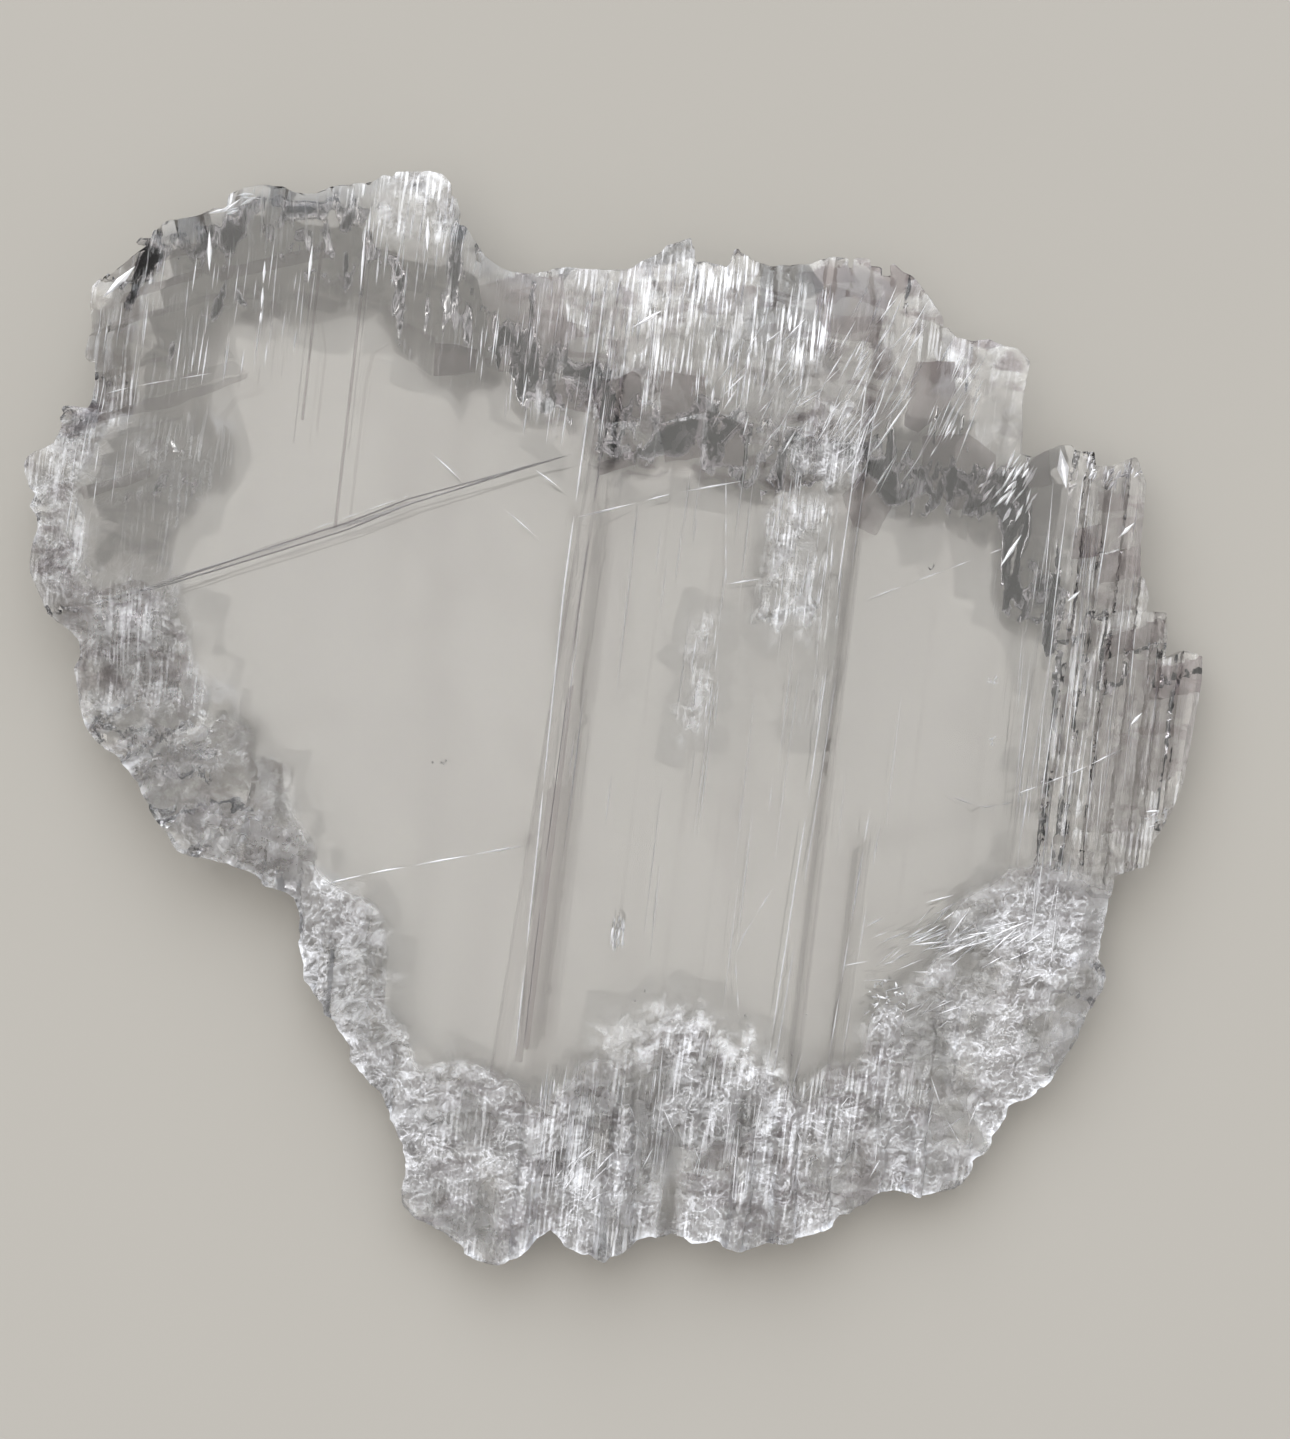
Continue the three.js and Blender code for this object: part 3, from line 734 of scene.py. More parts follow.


# Facets with painted shade, for the mauve dark that each tilted facet reflects.
PANES = (
    # Under the crown.
    Pane(((-2.9, 41.6), (2.2, 44.2), (3.4, 43.4), (3.4, 38.2), (-1.7, 37.4)), 1, 0.95),
    Pane(((-2.2, 32.5), (2.9, 34.4), (2.7, 32.4), (-2.2, 30.9)), 0.94, 1.0),
    Pane(((5.8, 44.1), (11.4, 43.4), (11.4, 39.0), (5.8, 37.5)), 0.81),
    Pane(((5.6, 37.4), (11.0, 38.2), (11.0, 33.4), (6.4, 32.6)), 0.88, 0.95),
    Pane(((11.6, 39.4), (16.4, 37.4), (16.4, 32.0), (11.6, 32.2)), 0.8, 0.95),
    Pane(((-8.6, 42.2), (-4.3, 42.5), (-2.9, 41.5), (-3.6, 38.7), (-7.5, 39.9)), 0.81),
    Pane(((-7.5, 50.7), (-2.8, 49.6), (-2.8, 43.7), (-4.3, 42.2), (-8.6, 40.7), (-10.5, 43.0)), 0.3, 0.6),
    Pane(((-17.1, 54.8), (-12.1, 56.3), (-6.4, 56.1), (-6.0, 49.7), (-7.6, 44.0), (-14.6, 43.9)), 0.68, 0.55),
    # The crown's east.
    Pane(
        ((24.9, 57.3), (33.4, 58.1), (38.1, 56.2), (34.5, 52.3), (33.0, 47.7), (27.6, 48.1), (25.7, 50.7)),
        0.68, 0.6,
    ),
    Pane(((38.0, 45.3), (42.9, 45.6), (42.9, 41.5), (41.9, 39.6), (38.2, 36.4), (36.4, 37.3)), 0.81, 0.75),
    Pane(((38.7, 35.9), (44.7, 36.4), (48.0, 33.6), (48.0, 27.5), (42.9, 26.6), (38.7, 31.3)), 0.74, 0.7),
    Pane(((28.5, 28.5), (31.5, 31.5), (35.5, 28.0), (33.0, 23.5), (30.0, 24.5)), 0.74, 0.7),
    # The north west.
    Pane(((-28.1, 59.8), (-24.0, 54.5), (-24.2, 53.9), (-27.8, 54.4)), 0.41),
    Pane(((-27.4, 50.7), (-22.6, 48.3), (-23.2, 43.5), (-25.6, 45.5)), 0.34, 0.9),
    Pane(((-22.6, 47.7), (-17.3, 46.9), (-17.7, 43.8), (-22.9, 43.5)), 0.88, 0.9),
    Pane(
        ((-66.0, 38.5), (-56.0, 41.3), (-46.2, 43.7), (-46.2, 43.1), (-55.6, 39.6), (-66.4, 37.5)),
        0.55, 0.6,
    ),
    Pane(((-66.5, 43.5), (-57.0, 46.0), (-57.0, 45.3), (-66.5, 42.8)), 0.35, 0.5),
    Pane(((-66.0, 35.6), (-54.0, 38.6), (-54.0, 38.1), (-66.0, 34.9)), 0.3, 0.5),
    Pane(((-64.0, 50.2), (-50.0, 53.9), (-50.0, 53.1), (-64.0, 49.3)), 0.3, 0.4),
    Pane(((-67.2, 29.5), (-58.3, 31.9), (-58.3, 30.7), (-66.8, 28.0)), 0.61, 0.9),
    Pane(((-60.5, 58.1), (-51.1, 60.5), (-51.1, 59.4), (-60.9, 57.0)), 0.68, 0.9),
    Pane(((-62.0, 54.0), (-52.0, 57.0), (-52.0, 55.9), (-62.4, 52.7)), 0.61, 0.9),
    Pane(((-49.6, 57.0), (-36.0, 60.0), (-36.0, 58.4), (-49.6, 55.4)), 0.54, 0.7),
    # The laths in the east.
    Pane(((61.0, 31.7), (66.7, 32.6), (66.7, 22.4), (61.3, 21.2)), 0.42, 0.8),
    Pane(((61.8, 20.9), (66.4, 22.0), (66.7, 14.7), (60.7, 13.0)), 0.38, 0.7),
    Pane(((62.2, 11.0), (70.1, 13.3), (69.8, 8.2), (66.0, -14.0), (59.0, -14.0)), 0.34, 0.55),
    Pane(((68.3, 6.8), (74.8, 8.2), (72.9, -5.7), (69.0, -9.0), (66.3, -8.1)), 0.42, 0.6),
    Pane(((52.0, 29.9), (58.2, 29.9), (58.2, 23.4), (51.2, 23.4)), 0.26, 0.5),
    Pane(((50.4, 27.0), (53.6, 27.0), (52.4, 12.0), (49.4, 12.0)), 0.1, 0.9),
    Pane(((58.0, 24.4), (61.6, 24.9), (61.3, 20.9), (57.6, 20.4)), 0.85, 0.6),
    Pane(((61.7, 21.0), (66.6, 22.4), (66.5, 18.4), (61.2, 17.4)), 0.85, 0.7),
    Pane(((61.8, 10.4), (70.0, 13.1), (69.9, 10.5), (61.4, 7.6)), 0.85, 0.6),
    Pane(((68.4, 6.7), (74.9, 8.2), (74.6, 3.8), (68.0, 2.6)), 0.85, 0.6),
    Pane(((50.6, 31.0), (54.6, 33.8), (55.2, 29.8), (51.0, 29.2)), 0.6, 0.6),
    # The open lens of the crack that crosses the west.
    Pane(
        ((-56.0, 17.7), (-42.0, 22.7), (-33.0, 25.5), (-23.0, 28.6), (-33.0, 24.6), (-42.0, 21.5)),
        0.4, 0.0,
    ),
)


def calmness(x: np.ndarray, y: np.ndarray) -> np.ndarray:
    """How much the panes calm each place.

    Args:
        x: Places, in the part's frame.
        y: Places, in the part's frame.

    Returns:
        Shares from 0 to 1.
    """
    calm = np.zeros(np.shape(x))
    for pane in PANES:
        calm = np.maximum(calm, pane.calm * pane.holds(x, y))
    return calm


# ---- Finishes ----


class Graph:
    """A material's or world's node tree, with short ways to add the nodes that the finishes use."""

    def __init__(self, owner: bpy.types.Material | bpy.types.World) -> None:
        """Turns the owner's nodes on."""
        owner.use_nodes = True
        self.nodes, self.links = owner.node_tree.nodes, owner.node_tree.links

    def add(self, kind: str, settings: Settings | None = None, **inputs: Value) -> bpy.types.Node:
        """Adds a node.

        Args:
            kind: The node's type, without its ShaderNode prefix.
            settings: Properties of the node itself.
            inputs: Sockets by name, with _ for a space, each a number, a tuple or another node's output.

        Returns:
            The node.
        """
        node = self.nodes.new("ShaderNode" + kind)
        for name, value in (settings or {}).items():
            setattr(node, name, value)
        for name, value in inputs.items():
            self.set(node.inputs[name.replace("_", " ")], value)
        return node

    def set(self, socket: bpy.types.NodeSocket, value: Value) -> None:
        """Links an output to a socket, or gives the socket a plain value.

        Args:
            socket: The input socket.
            value: The output, or the plain value.
        """
        if isinstance(value, bpy.types.NodeSocket):
            self.links.new(value, socket)
        else:
            socket.default_value = value

    def math(self, operation: str, *values: Value, clamp: bool = False) -> bpy.types.NodeSocket:
        """Adds a math node.

        Args:
            operation: What it works out.
            values: Its inputs, in order.
            clamp: Whether the result is kept between 0 and 1.

        Returns:
            Its output.
        """
        node = self.add("Math", {"operation": operation, "use_clamp": clamp})
        for socket, value in zip(node.inputs, values):
            self.set(socket, value)
        return node.outputs[0]

    def rise(self, value: bpy.types.NodeSocket, low: float, high: float) -> bpy.types.NodeSocket:
        """Adds a smooth rise from 0 to 1.

        Args:
            value: What it follows.
            low: Where the result is 0.
            high: Where the result is 1. The rise is a fall where this is the smaller.

        Returns:
            Its output.
        """
        falls = high < low
        ends = {"From_Min": min(low, high), "From_Max": max(low, high)}
        results = {"To_Min": 1.0 if falls else 0.0, "To_Max": 0.0 if falls else 1.0}
        settings = {"interpolation_type": "SMOOTHSTEP"}
        return self.add("MapRange", settings, Value=value, **ends, **results).outputs["Result"]

    def blend(self, share: Value, first: Value, second: Value) -> bpy.types.NodeSocket:
        """Adds a mix of two colours.

        Args:
            share: How much of the second there is, 0 to 1.
            first: A colour or an output.
            second: A colour or an output.

        Returns:
            Its output.
        """
        node = self.add("Mix", {"data_type": "RGBA"})
        self.set(node.inputs["Factor"], share)
        for name, colour in (("A", first), ("B", second)):
            linked = isinstance(colour, bpy.types.NodeSocket)
            self.set(node.inputs[name], colour if linked else (*colour, 1.0))
        return node.outputs["Result"]

    def noise(
        self, place: Value, size: Span, detail: float, distortion: float = 0.0, fine: float = 0.5
    ) -> bpy.types.NodeSocket:
        """Adds noise over the plan.

        Args:
            place: The coordinates.
            size: What its features measure along u and v, in millimetres.
            detail: How many layers of finer features it has.
            distortion: How much its features are bent.
            fine: How strong the finer layers are.

        Returns:
            Its output.
        """
        scale = (1.0 / (size[0] * MM), 1.0 / (size[1] * MM), 1.0)
        spread = self.add("Mapping", Vector=place, Scale=scale).outputs["Vector"]
        strength = {"Scale": 1.0, "Detail": detail, "Distortion": distortion, "Roughness": fine}
        return self.add("TexNoise", {"noise_dimensions": "2D"}, Vector=spread, **strength).outputs["Fac"]

    def field(self, name: str) -> bpy.types.NodeSocket:
        """Adds a reader for one of the mesh's fields and returns its output."""
        return self.add("Attribute", {"attribute_name": name}).outputs["Fac"]


@dataclass(frozen=True)
class SeleniteFinish:
    """Clear gypsum that turns silky, sugary and milky where the fields say so, and darker with painted shade in
    mauve grey.
    """

    ior: float = 1.52
    absorption: Colour = (0.82, 0.78, 0.79)
    density: float = 5.0
    white: Colour = (0.82, 0.835, 0.87)
    # The mauve grey of painted shade: the dark that the broken rim and its tilted facets reflect.
    shade_paint: Colour = (0.365, 0.31, 0.325)
    whitest: float = 0.95  # most of the light that the white may keep from passing
    fibre_size: Span = (0.40, 9.0)
    wisp_size: Span = (1.6, 4.5)
    cotton_size: Span = (3.4, 2.2)
    web_size: Span = (2.6, 1.8)
    grain_size: Span = (0.38, 0.5)
    brush_size: Span = (4.5, 2.0)
    column_size: Span = (5.0, 90.0)
    ghost_size: Span = (17.0, 24.0)
    fibre_edges: Span = (0.48, 0.62)  # noise at which streaks of silk begin, and are full
    wisp_edges: Span = (0.38, 0.56)
    cloud_edges: Span = (0.38, 0.66)
    milk_edges: Span = (0.30, 0.70)
    thread_edges: Span = (0.040, 0.012)  # distance from the middle of the web's noise
    sparkle_edges: Span = (0.58, 0.72)
    pit_edges: Span = (0.30, 0.22)
    brush_edges: Span = (0.42, 0.60)
    column_edges: Span = (0.45, 0.75)
    ghost_edges: Span = (0.56, 0.575)
    silk_rough: Span = (0.5, -0.10)  # roughness of silk: slope over the fibres' noise, and start
    frost_rough: Span = (0.4, 0.40)  # roughness of frost: slope over the cotton's noise, and start
    haze: float = 0.08  # how white frost is everywhere
    cloud: float = 0.24  # how much whiter it is in its clouds
    thread: float = 0.42  # on its threads
    sparkle: float = 0.26  # on its grains
    pit_shade: float = 0.8  # how dark the painted shade in a pit between grains is
    shadow: float = 0.20  # how dark frost is beneath its white
    column: float = 0.06  # how dark the painted shade of the clear middle's columns is
    painted_ghost_shade: float = 0.035  # how dark the painted shade of its veils is, where thin cleavage films reflect
    bump: float = 0.35
    bump_height: float = 0.0003  # metres

    def broken(self) -> bpy.types.Material:
        """Builds the broken rim's node material.

        Returns:
            The material.
        """
        material = bpy.data.materials.new("broken_selenite")
        graph, shader, turned = self._start(material)
        silk, frost, milk, dusk = (graph.field(name) for name in FINISH_FIELDS)
        painted_crisp_shade, calm = (graph.field(name) for name in SHADE_AND_CALM_FIELDS)
        crossed = graph.add("Mapping", Vector=turned, Rotation=(0.0, 0.0, -CROSS_TILT)).outputs["Vector"]
        fibres = graph.noise(turned, self.fibre_size, 2)
        wisps = graph.noise(turned, self.wisp_size, 2)
        cotton = graph.noise(crossed, self.cotton_size, 3, distortion=0.4, fine=0.85)
        web = graph.noise(crossed, self.web_size, 2, distortion=1.2)
        grain = graph.noise(turned, self.grain_size, 1)
        brush = graph.noise(turned, self.brush_size, 2, distortion=0.6)

        streaks = graph.rise(fibres, *self.fibre_edges)
        streaks = graph.math("MULTIPLY", streaks, graph.rise(wisps, *self.wisp_edges))
        threads = graph.rise(graph.math("ABSOLUTE", graph.math("SUBTRACT", web, 0.5)), *self.thread_edges)
        veils = graph.math("MULTIPLY_ADD", graph.rise(cotton, *self.cloud_edges), self.cloud, self.haze)
        veils = graph.math("MULTIPLY_ADD", threads, self.thread, veils)
        veils = graph.math("MULTIPLY_ADD", graph.rise(grain, *self.sparkle_edges), self.sparkle, veils)
        white = graph.math("MULTIPLY", streaks, silk)
        white = graph.math("MULTIPLY_ADD", veils, frost, white)
        white = graph.math("MULTIPLY_ADD", graph.rise(cotton, *self.milk_edges), milk, white)
        lively = graph.math("SUBTRACT", 1.0, calm)
        white = graph.math("MULTIPLY", graph.math("MINIMUM", white, self.whitest), lively)
        graph.set(shader.inputs["Transmission Weight"], graph.math("SUBTRACT", 1.0, white, clamp=True))

        # Painted shade in mauve grey: the fields' dark patches, the strips and panes, the pits between grains
        # and the frost's shadow.
        shade_paint = graph.math("MULTIPLY_ADD", graph.rise(brush, *self.brush_edges), dusk, painted_crisp_shade)
        shaded_pits = graph.math("MULTIPLY", graph.rise(grain, *self.pit_edges), frost)
        shade_paint = graph.math("MAXIMUM", shade_paint, graph.math("MULTIPLY", shaded_pits, self.pit_shade))
        shade_paint = graph.math("MULTIPLY_ADD", frost, self.shadow, shade_paint)
        clear = graph.blend(graph.math("MINIMUM", shade_paint, 1.0), CLEAR, self.shade_paint)
        graph.set(shader.inputs["Base Color"], graph.blend(white, clear, self.white))

        silky = graph.math("MULTIPLY", silk, graph.math("MULTIPLY_ADD", fibres, *self.silk_rough))
        sugary = graph.math("MULTIPLY", frost, graph.math("MULTIPLY_ADD", cotton, *self.frost_rough))
        rough = graph.math("MULTIPLY", graph.math("ADD", silky, sugary), lively)
        graph.set(shader.inputs["Roughness"], graph.math("MAXIMUM", rough, 0.0, clamp=True))
        height = graph.math("MULTIPLY_ADD", grain, frost, graph.math("MULTIPLY", fibres, silk))
        bump = graph.add("Bump", Strength=self.bump, Distance=self.bump_height, Height=height)
        graph.set(shader.inputs["Normal"], bump.outputs["Normal"])
        return material

    def clear(self) -> bpy.types.Material:
        """Builds the clear middle's node material: sharp, with faint painted shade in strips, columns and
        veils.

        Returns:
            The material.
        """
        material = bpy.data.materials.new("clear_selenite")
        graph, shader, turned = self._start(material)
        shader.inputs["Transmission Weight"].default_value = 1.0
        shader.inputs["Roughness"].default_value = 0.0
        columns = graph.noise(turned, self.column_size, 3)
        ghosts = graph.noise(turned, self.ghost_size, 2)
        # Painted shade: faint columns along the fibres, the strips and panes, and veils.
        dull = graph.rise(columns, *self.column_edges)
        shade_paint = graph.math("MULTIPLY_ADD", dull, self.column, graph.field("painted_crisp_shade"))
        shade_paint = graph.math("MULTIPLY_ADD", graph.rise(ghosts, *self.ghost_edges), self.painted_ghost_shade, shade_paint)
        graph.set(shader.inputs["Base Color"], graph.blend(shade_paint, CLEAR, self.shade_paint))
        return material

    def _start(self, material: bpy.types.Material) -> tuple[Graph, bpy.types.Node, bpy.types.NodeSocket]:
        """Starts what the whole crystal shares: its refraction, its faint warm absorption and its frame.

        Args:
            material: The material.

        Returns:
            Its graph, its shader, and coordinates that run across and along the fibres.
        """
        graph = Graph(material)
        shader = graph.nodes["Principled BSDF"]
        shader.inputs["IOR"].default_value = self.ior
        volume = graph.add("VolumeAbsorption", Color=(*self.absorption, 1.0), Density=self.density)
        graph.links.new(volume.outputs["Volume"], graph.nodes["Material Output"].inputs["Volume"])
        place = graph.add("TexCoord").outputs["Object"]
        turned = graph.add("Mapping", Vector=place, Rotation=(0.0, 0.0, FIBRE_TILT)).outputs["Vector"]
        return graph, shader, turned


@dataclass(frozen=True)
class NeedleFinish:
    """The white of air along a fibre or of a painted glint, or the dark of a fine open crack."""

    white: Colour = (0.95, 0.95, 0.97)
    dark: Colour = (0.16, 0.14, 0.14)
    shine: float = 0.25
    flicker: Span = (0.8, 0.8)
    liveliness: Span = (0.5, 0.75)  # share of its shade: slope over the flicker's noise, and start
    rough: Span = (0.3, 0.3)  # roughness, in the same way

    def material(self) -> bpy.types.Material:
        """Builds the node material.

        Returns:
            The material.
        """
        material = bpy.data.materials.new("needle")
        graph = Graph(material)
        shader = graph.nodes["Principled BSDF"]
        place = graph.add("TexCoord").outputs["Object"]
        flicker = graph.noise(place, self.flicker, 1)
        lively = graph.math("MULTIPLY_ADD", flicker, *self.liveliness)
        tone = graph.math("MULTIPLY", graph.field("shade"), lively, clamp=True)
        graph.set(shader.inputs["Base Color"], graph.blend(tone, self.dark, self.white))
        graph.set(shader.inputs["Roughness"], graph.math("MULTIPLY_ADD", flicker, *self.rough))
        shader.inputs["Specular IOR Level"].default_value = self.shine
        return material


@dataclass(frozen=True)
class FloorFinish:
    """Pale warm grey board with a faint mottle."""

    light: Colour = (0.368, 0.350, 0.320)
    dark: Colour = (0.352, 0.334, 0.304)
    mottle: float = 14.0  # patches in a metre
    roughness: float = 0.9
    shine: float = 0.1

    def material(self) -> bpy.types.Material:
        """Builds the node material.

        Returns:
            The material.
        """
        material = bpy.data.materials.new("pale_floor")
        graph = Graph(material)
        shader = graph.nodes["Principled BSDF"]
        place = graph.add("TexCoord").outputs["Object"]
        mottle = graph.add("TexNoise", Vector=place, Scale=self.mottle).outputs["Fac"]
        graph.set(shader.inputs["Base Color"], graph.blend(mottle, self.light, self.dark))
        shader.inputs["Roughness"].default_value = self.roughness
        shader.inputs["Specular IOR Level"].default_value = self.shine
        return material


# ---- The slab ----


@dataclass(frozen=True)
class Mood:
    """A broad patchwork that makes the relief or one field of the finish come and go."""

    least: float  # strength between the patches
    swing: float  # how much stronger it is in them
    size: Span  # how large they are along u and v
    channel: int  # which patchwork it is

    def strength(self, seed: int, u: np.ndarray, v: np.ndarray) -> np.ndarray:
        """The strength at each place, on the face with this seed."""
        patches = Noise(seed + 20 + self.channel).layered(u / self.size[0], v / self.size[1], 2)
        return self.least + self.swing * smoothstep(-0.35, 0.3, patches)


RELIEF_MOOD = Mood(0.45, 0.55, (6.0, 6.0), 1)
FINISH_MOODS = {
    "silk": Mood(0.25, 0.85, (5.0, 9.0), 2),
    "frost": Mood(0.22, 0.83, (5.0, 6.5), 1),
    "dusk": Mood(0.35, 0.8, (7.0, 4.0), 3),
}


@dataclass
class BrokenFace:
    """One broken face of the slab, the front or the back, as a height and a finish at any place."""

    source: HeightMap
    front: bool
    seed: int
    steep: float = 0.22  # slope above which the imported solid's face counts as broken
    proud: float = 0.25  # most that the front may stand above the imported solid
    scale: float = 0.62  # how high the relief is as a whole
    smear: Span = (1.1, 1.6)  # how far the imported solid's steps are softened, along u and v
    lath_side: Span = (53.0, 56.5)  # where the laths set in, along u
    lath_foot: Span = (-34.0, -24.0)  # and along v
    lath_crisp: Span = (52.0, 55.0)  # where they become crisp, along u
    crown_foot: Span = (33.0, 38.0)  # where the crown sets in, along v
    crown_dull: Span = (47.5, 43.5)  # where its inner part loses its silk, along v
    crown_share: float = 0.75  # how broken the crown is
    crown_loss: float = 0.75  # how much of its silk the crown's inner part loses
    patch_share: float = 0.3  # how broken a patch is
    wander: Span = (0.5, 1.9)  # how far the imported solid's breaks stray, along u and v
    crisp: float = 0.35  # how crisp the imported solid's breaks stay away from the laths
    chalk: float = 0.8  # how milky frost makes the very edge
    soft: HeightMap = field(init=False)
    broken: HeightMap = field(init=False)

    def __post_init__(self) -> None:
        """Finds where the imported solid's face is broken, and softens its steps there."""
        full = self.source.filled()
        self.source = full
        self.soft = full.blurred(*self.smear)
        slope_v, slope_u = np.gradient(self.soft.z, self.source.pitch)
        steep = np.hypot(slope_u, slope_v) > self.steep
        everywhere = np.ones(steep.shape, bool)
        spread = HeightMap(full.start, full.pitch, steep.astype(float), everywhere).blurred(1.0, 1.0)
        self.broken = HeightMap(full.start, full.pitch, smoothstep(0.25, 0.75, spread.z), spread.known)

    def _crown(self, u: np.ndarray, v: np.ndarray) -> np.ndarray:
        """How far each place lies under the crown, with its east."""
        x, y = to_part(u, v)
        return np.maximum(Sector.CROWN.weight(x, y), Sector.CROWN_EAST.weight(x, y))

    def brokenness(self, u: np.ndarray, v: np.ndarray) -> np.ndarray:
        """How broken the face is.

        Args:
            u: Places across the fibres.
            v: Places along the fibres.

        Returns:
            Values from 0 on clear cleavage to 1.
        """
        here = self.broken.at(u, v)
        laths = smoothstep(*self.lath_side, u) * smoothstep(*self.lath_foot, v)
        if self.front:
            frayed = v + 1.5 * Noise(5).smooth(u / 4, v / 4)
            crown = self._crown(u, v) * smoothstep(*self.crown_foot, frayed)
            here = np.maximum(here, self.crown_share * crown)
            for patch in PATCHES:
                if patch.silk or patch.frost:
                    here = np.maximum(here, self.patch_share * patch.weight(u, v))
        return np.maximum(here, laths)

    def height(self, u: np.ndarray, v: np.ndarray, room: np.ndarray) -> np.ndarray:
        """The face's height.

        Args:
            u: Places across the fibres.
            v: Places along the fibres.
            room: Distance from each place to the outline.

        Returns:
            Heights above the surface that the slab lies on.
        """
        x, y = to_part(u, v)
        broken = self.brokenness(u, v)
        noise = Noise(self.seed)
        sway = smoothstep(0.6, 3.0, room) * smoothstep(0.0, 0.5, self.broken.at(u, v))
        wu = u + self.wander[0] * sway * noise.layered(u / 3.1, v / 9.0)
        wv = v + self.wander[1] * sway * Noise(self.seed + 1).layered(u / 2.3, v / 6.0)
        worn = np.maximum.reduce([sector.weight(x, y) for sector in SOFT_SECTORS])
        laths = smoothstep(*self.lath_crisp, u) * (1.0 - worn)
        crisp = self.crisp * (1.0 - worn) + (1.0 - self.crisp) * laths
        rough = crisp * self.source.at(wu, wv) + (1 - crisp) * self.soft.at(wu, wv)
        exact = self.source.at(u, v) * laths + self.soft.at(u, v) * (1 - laths)
        base = np.where(broken > 0.01, rough * broken + exact * (1 - broken), exact)
        detail = sum(blended(name, self.front, x, y) * shape for name, shape in self._shapes(u, v).items())
        relief = self.scale * RELIEF_MOOD.strength(self.seed, u, v) * (1.0 - calmness(x, y))
        lifted = base + relief * broken * detail * smoothstep(-0.6, 1.2, room)
        if self.front:
            highest = self.source.at(u, v) + self.proud * broken
            return np.minimum(lifted, highest).clip(THINNEST, THICKNESS)
        return np.maximum(lifted, 0.0)

    def _shapes(self, u: np.ndarray, v: np.ndarray) -> Fields:
        """The relief of each kind of break.

        Args:
            u: Places across the fibres.
            v: Places along the fibres.

        Returns:
            Heights from about -1 to 1, by the name of the kind's field in Break.
        """
        noise, ridges, small = Noise(self.seed), Noise(self.seed + 2), Noise(self.seed + 3)
        blocks, grains, plates = Noise(self.seed + 4), Noise(self.seed + 5), Noise(self.seed + 6)
        return {
            "fibre": ridges.ridges(u / 1.3, v / 19.0) + 0.5 * small.ridges(u / 0.9, v / 8.0),
            "lath": noise.splinters(u, v, 2.6, 16.0) + 0.45 * blocks.splinters(u, v, 1.1, 7.0),
            "sugar": grains.facets(u / 1.5, v / 1.9, 1.1) + 0.6 * noise.facets(u / 0.9, v / 0.9, 1.4),
            "flake": plates.facets(u / 5.0, v / 6.5, 1.0) + 0.4 * noise.facets(u / 2.4, v / 3.4, 1.2),
        }

    def finish(self, u: np.ndarray, v: np.ndarray, room: np.ndarray) -> Fields:
        """How silky, frosty and milky the face is, and how much painted shade it has, each from 0 to 1.

        Args:
            u: Places across the fibres.
            v: Places along the fibres.
            room: Distance from each place to the outline.

        Returns:
            Each field by name.
        """
        x, y = to_part(u, v)
        broken = self.brokenness(u, v)
        fields = {name: broken * blended(name, self.front, x, y) for name in FINISH_FIELDS}
        for name, mood in FINISH_MOODS.items():
            fields[name] *= mood.strength(self.seed, u, v)
        frayed = v + 2.0 * Noise(6).layered(u / 5.0, v / 5.0)
        inner = self._crown(u, v) * smoothstep(*self.crown_dull, frayed)
        fields["silk"] *= 1.0 - self.crown_loss * inner
        if self.front:
            for patch in PATCHES:
                weight = patch.weight(u, v)
                for name in FINISH_FIELDS:
                    fields[name] = np.maximum(fields[name], getattr(patch, name) * weight)
        else:
            clearer = 1.0 - calmness(x, y)
            for name in FINISH_FIELDS:
                fields[name] *= clearer
        rim = smoothstep(0.9, 0.1, room) * fields["frost"]
        fields["milk"] = np.maximum(fields["milk"], self.chalk * rim)
        return fields


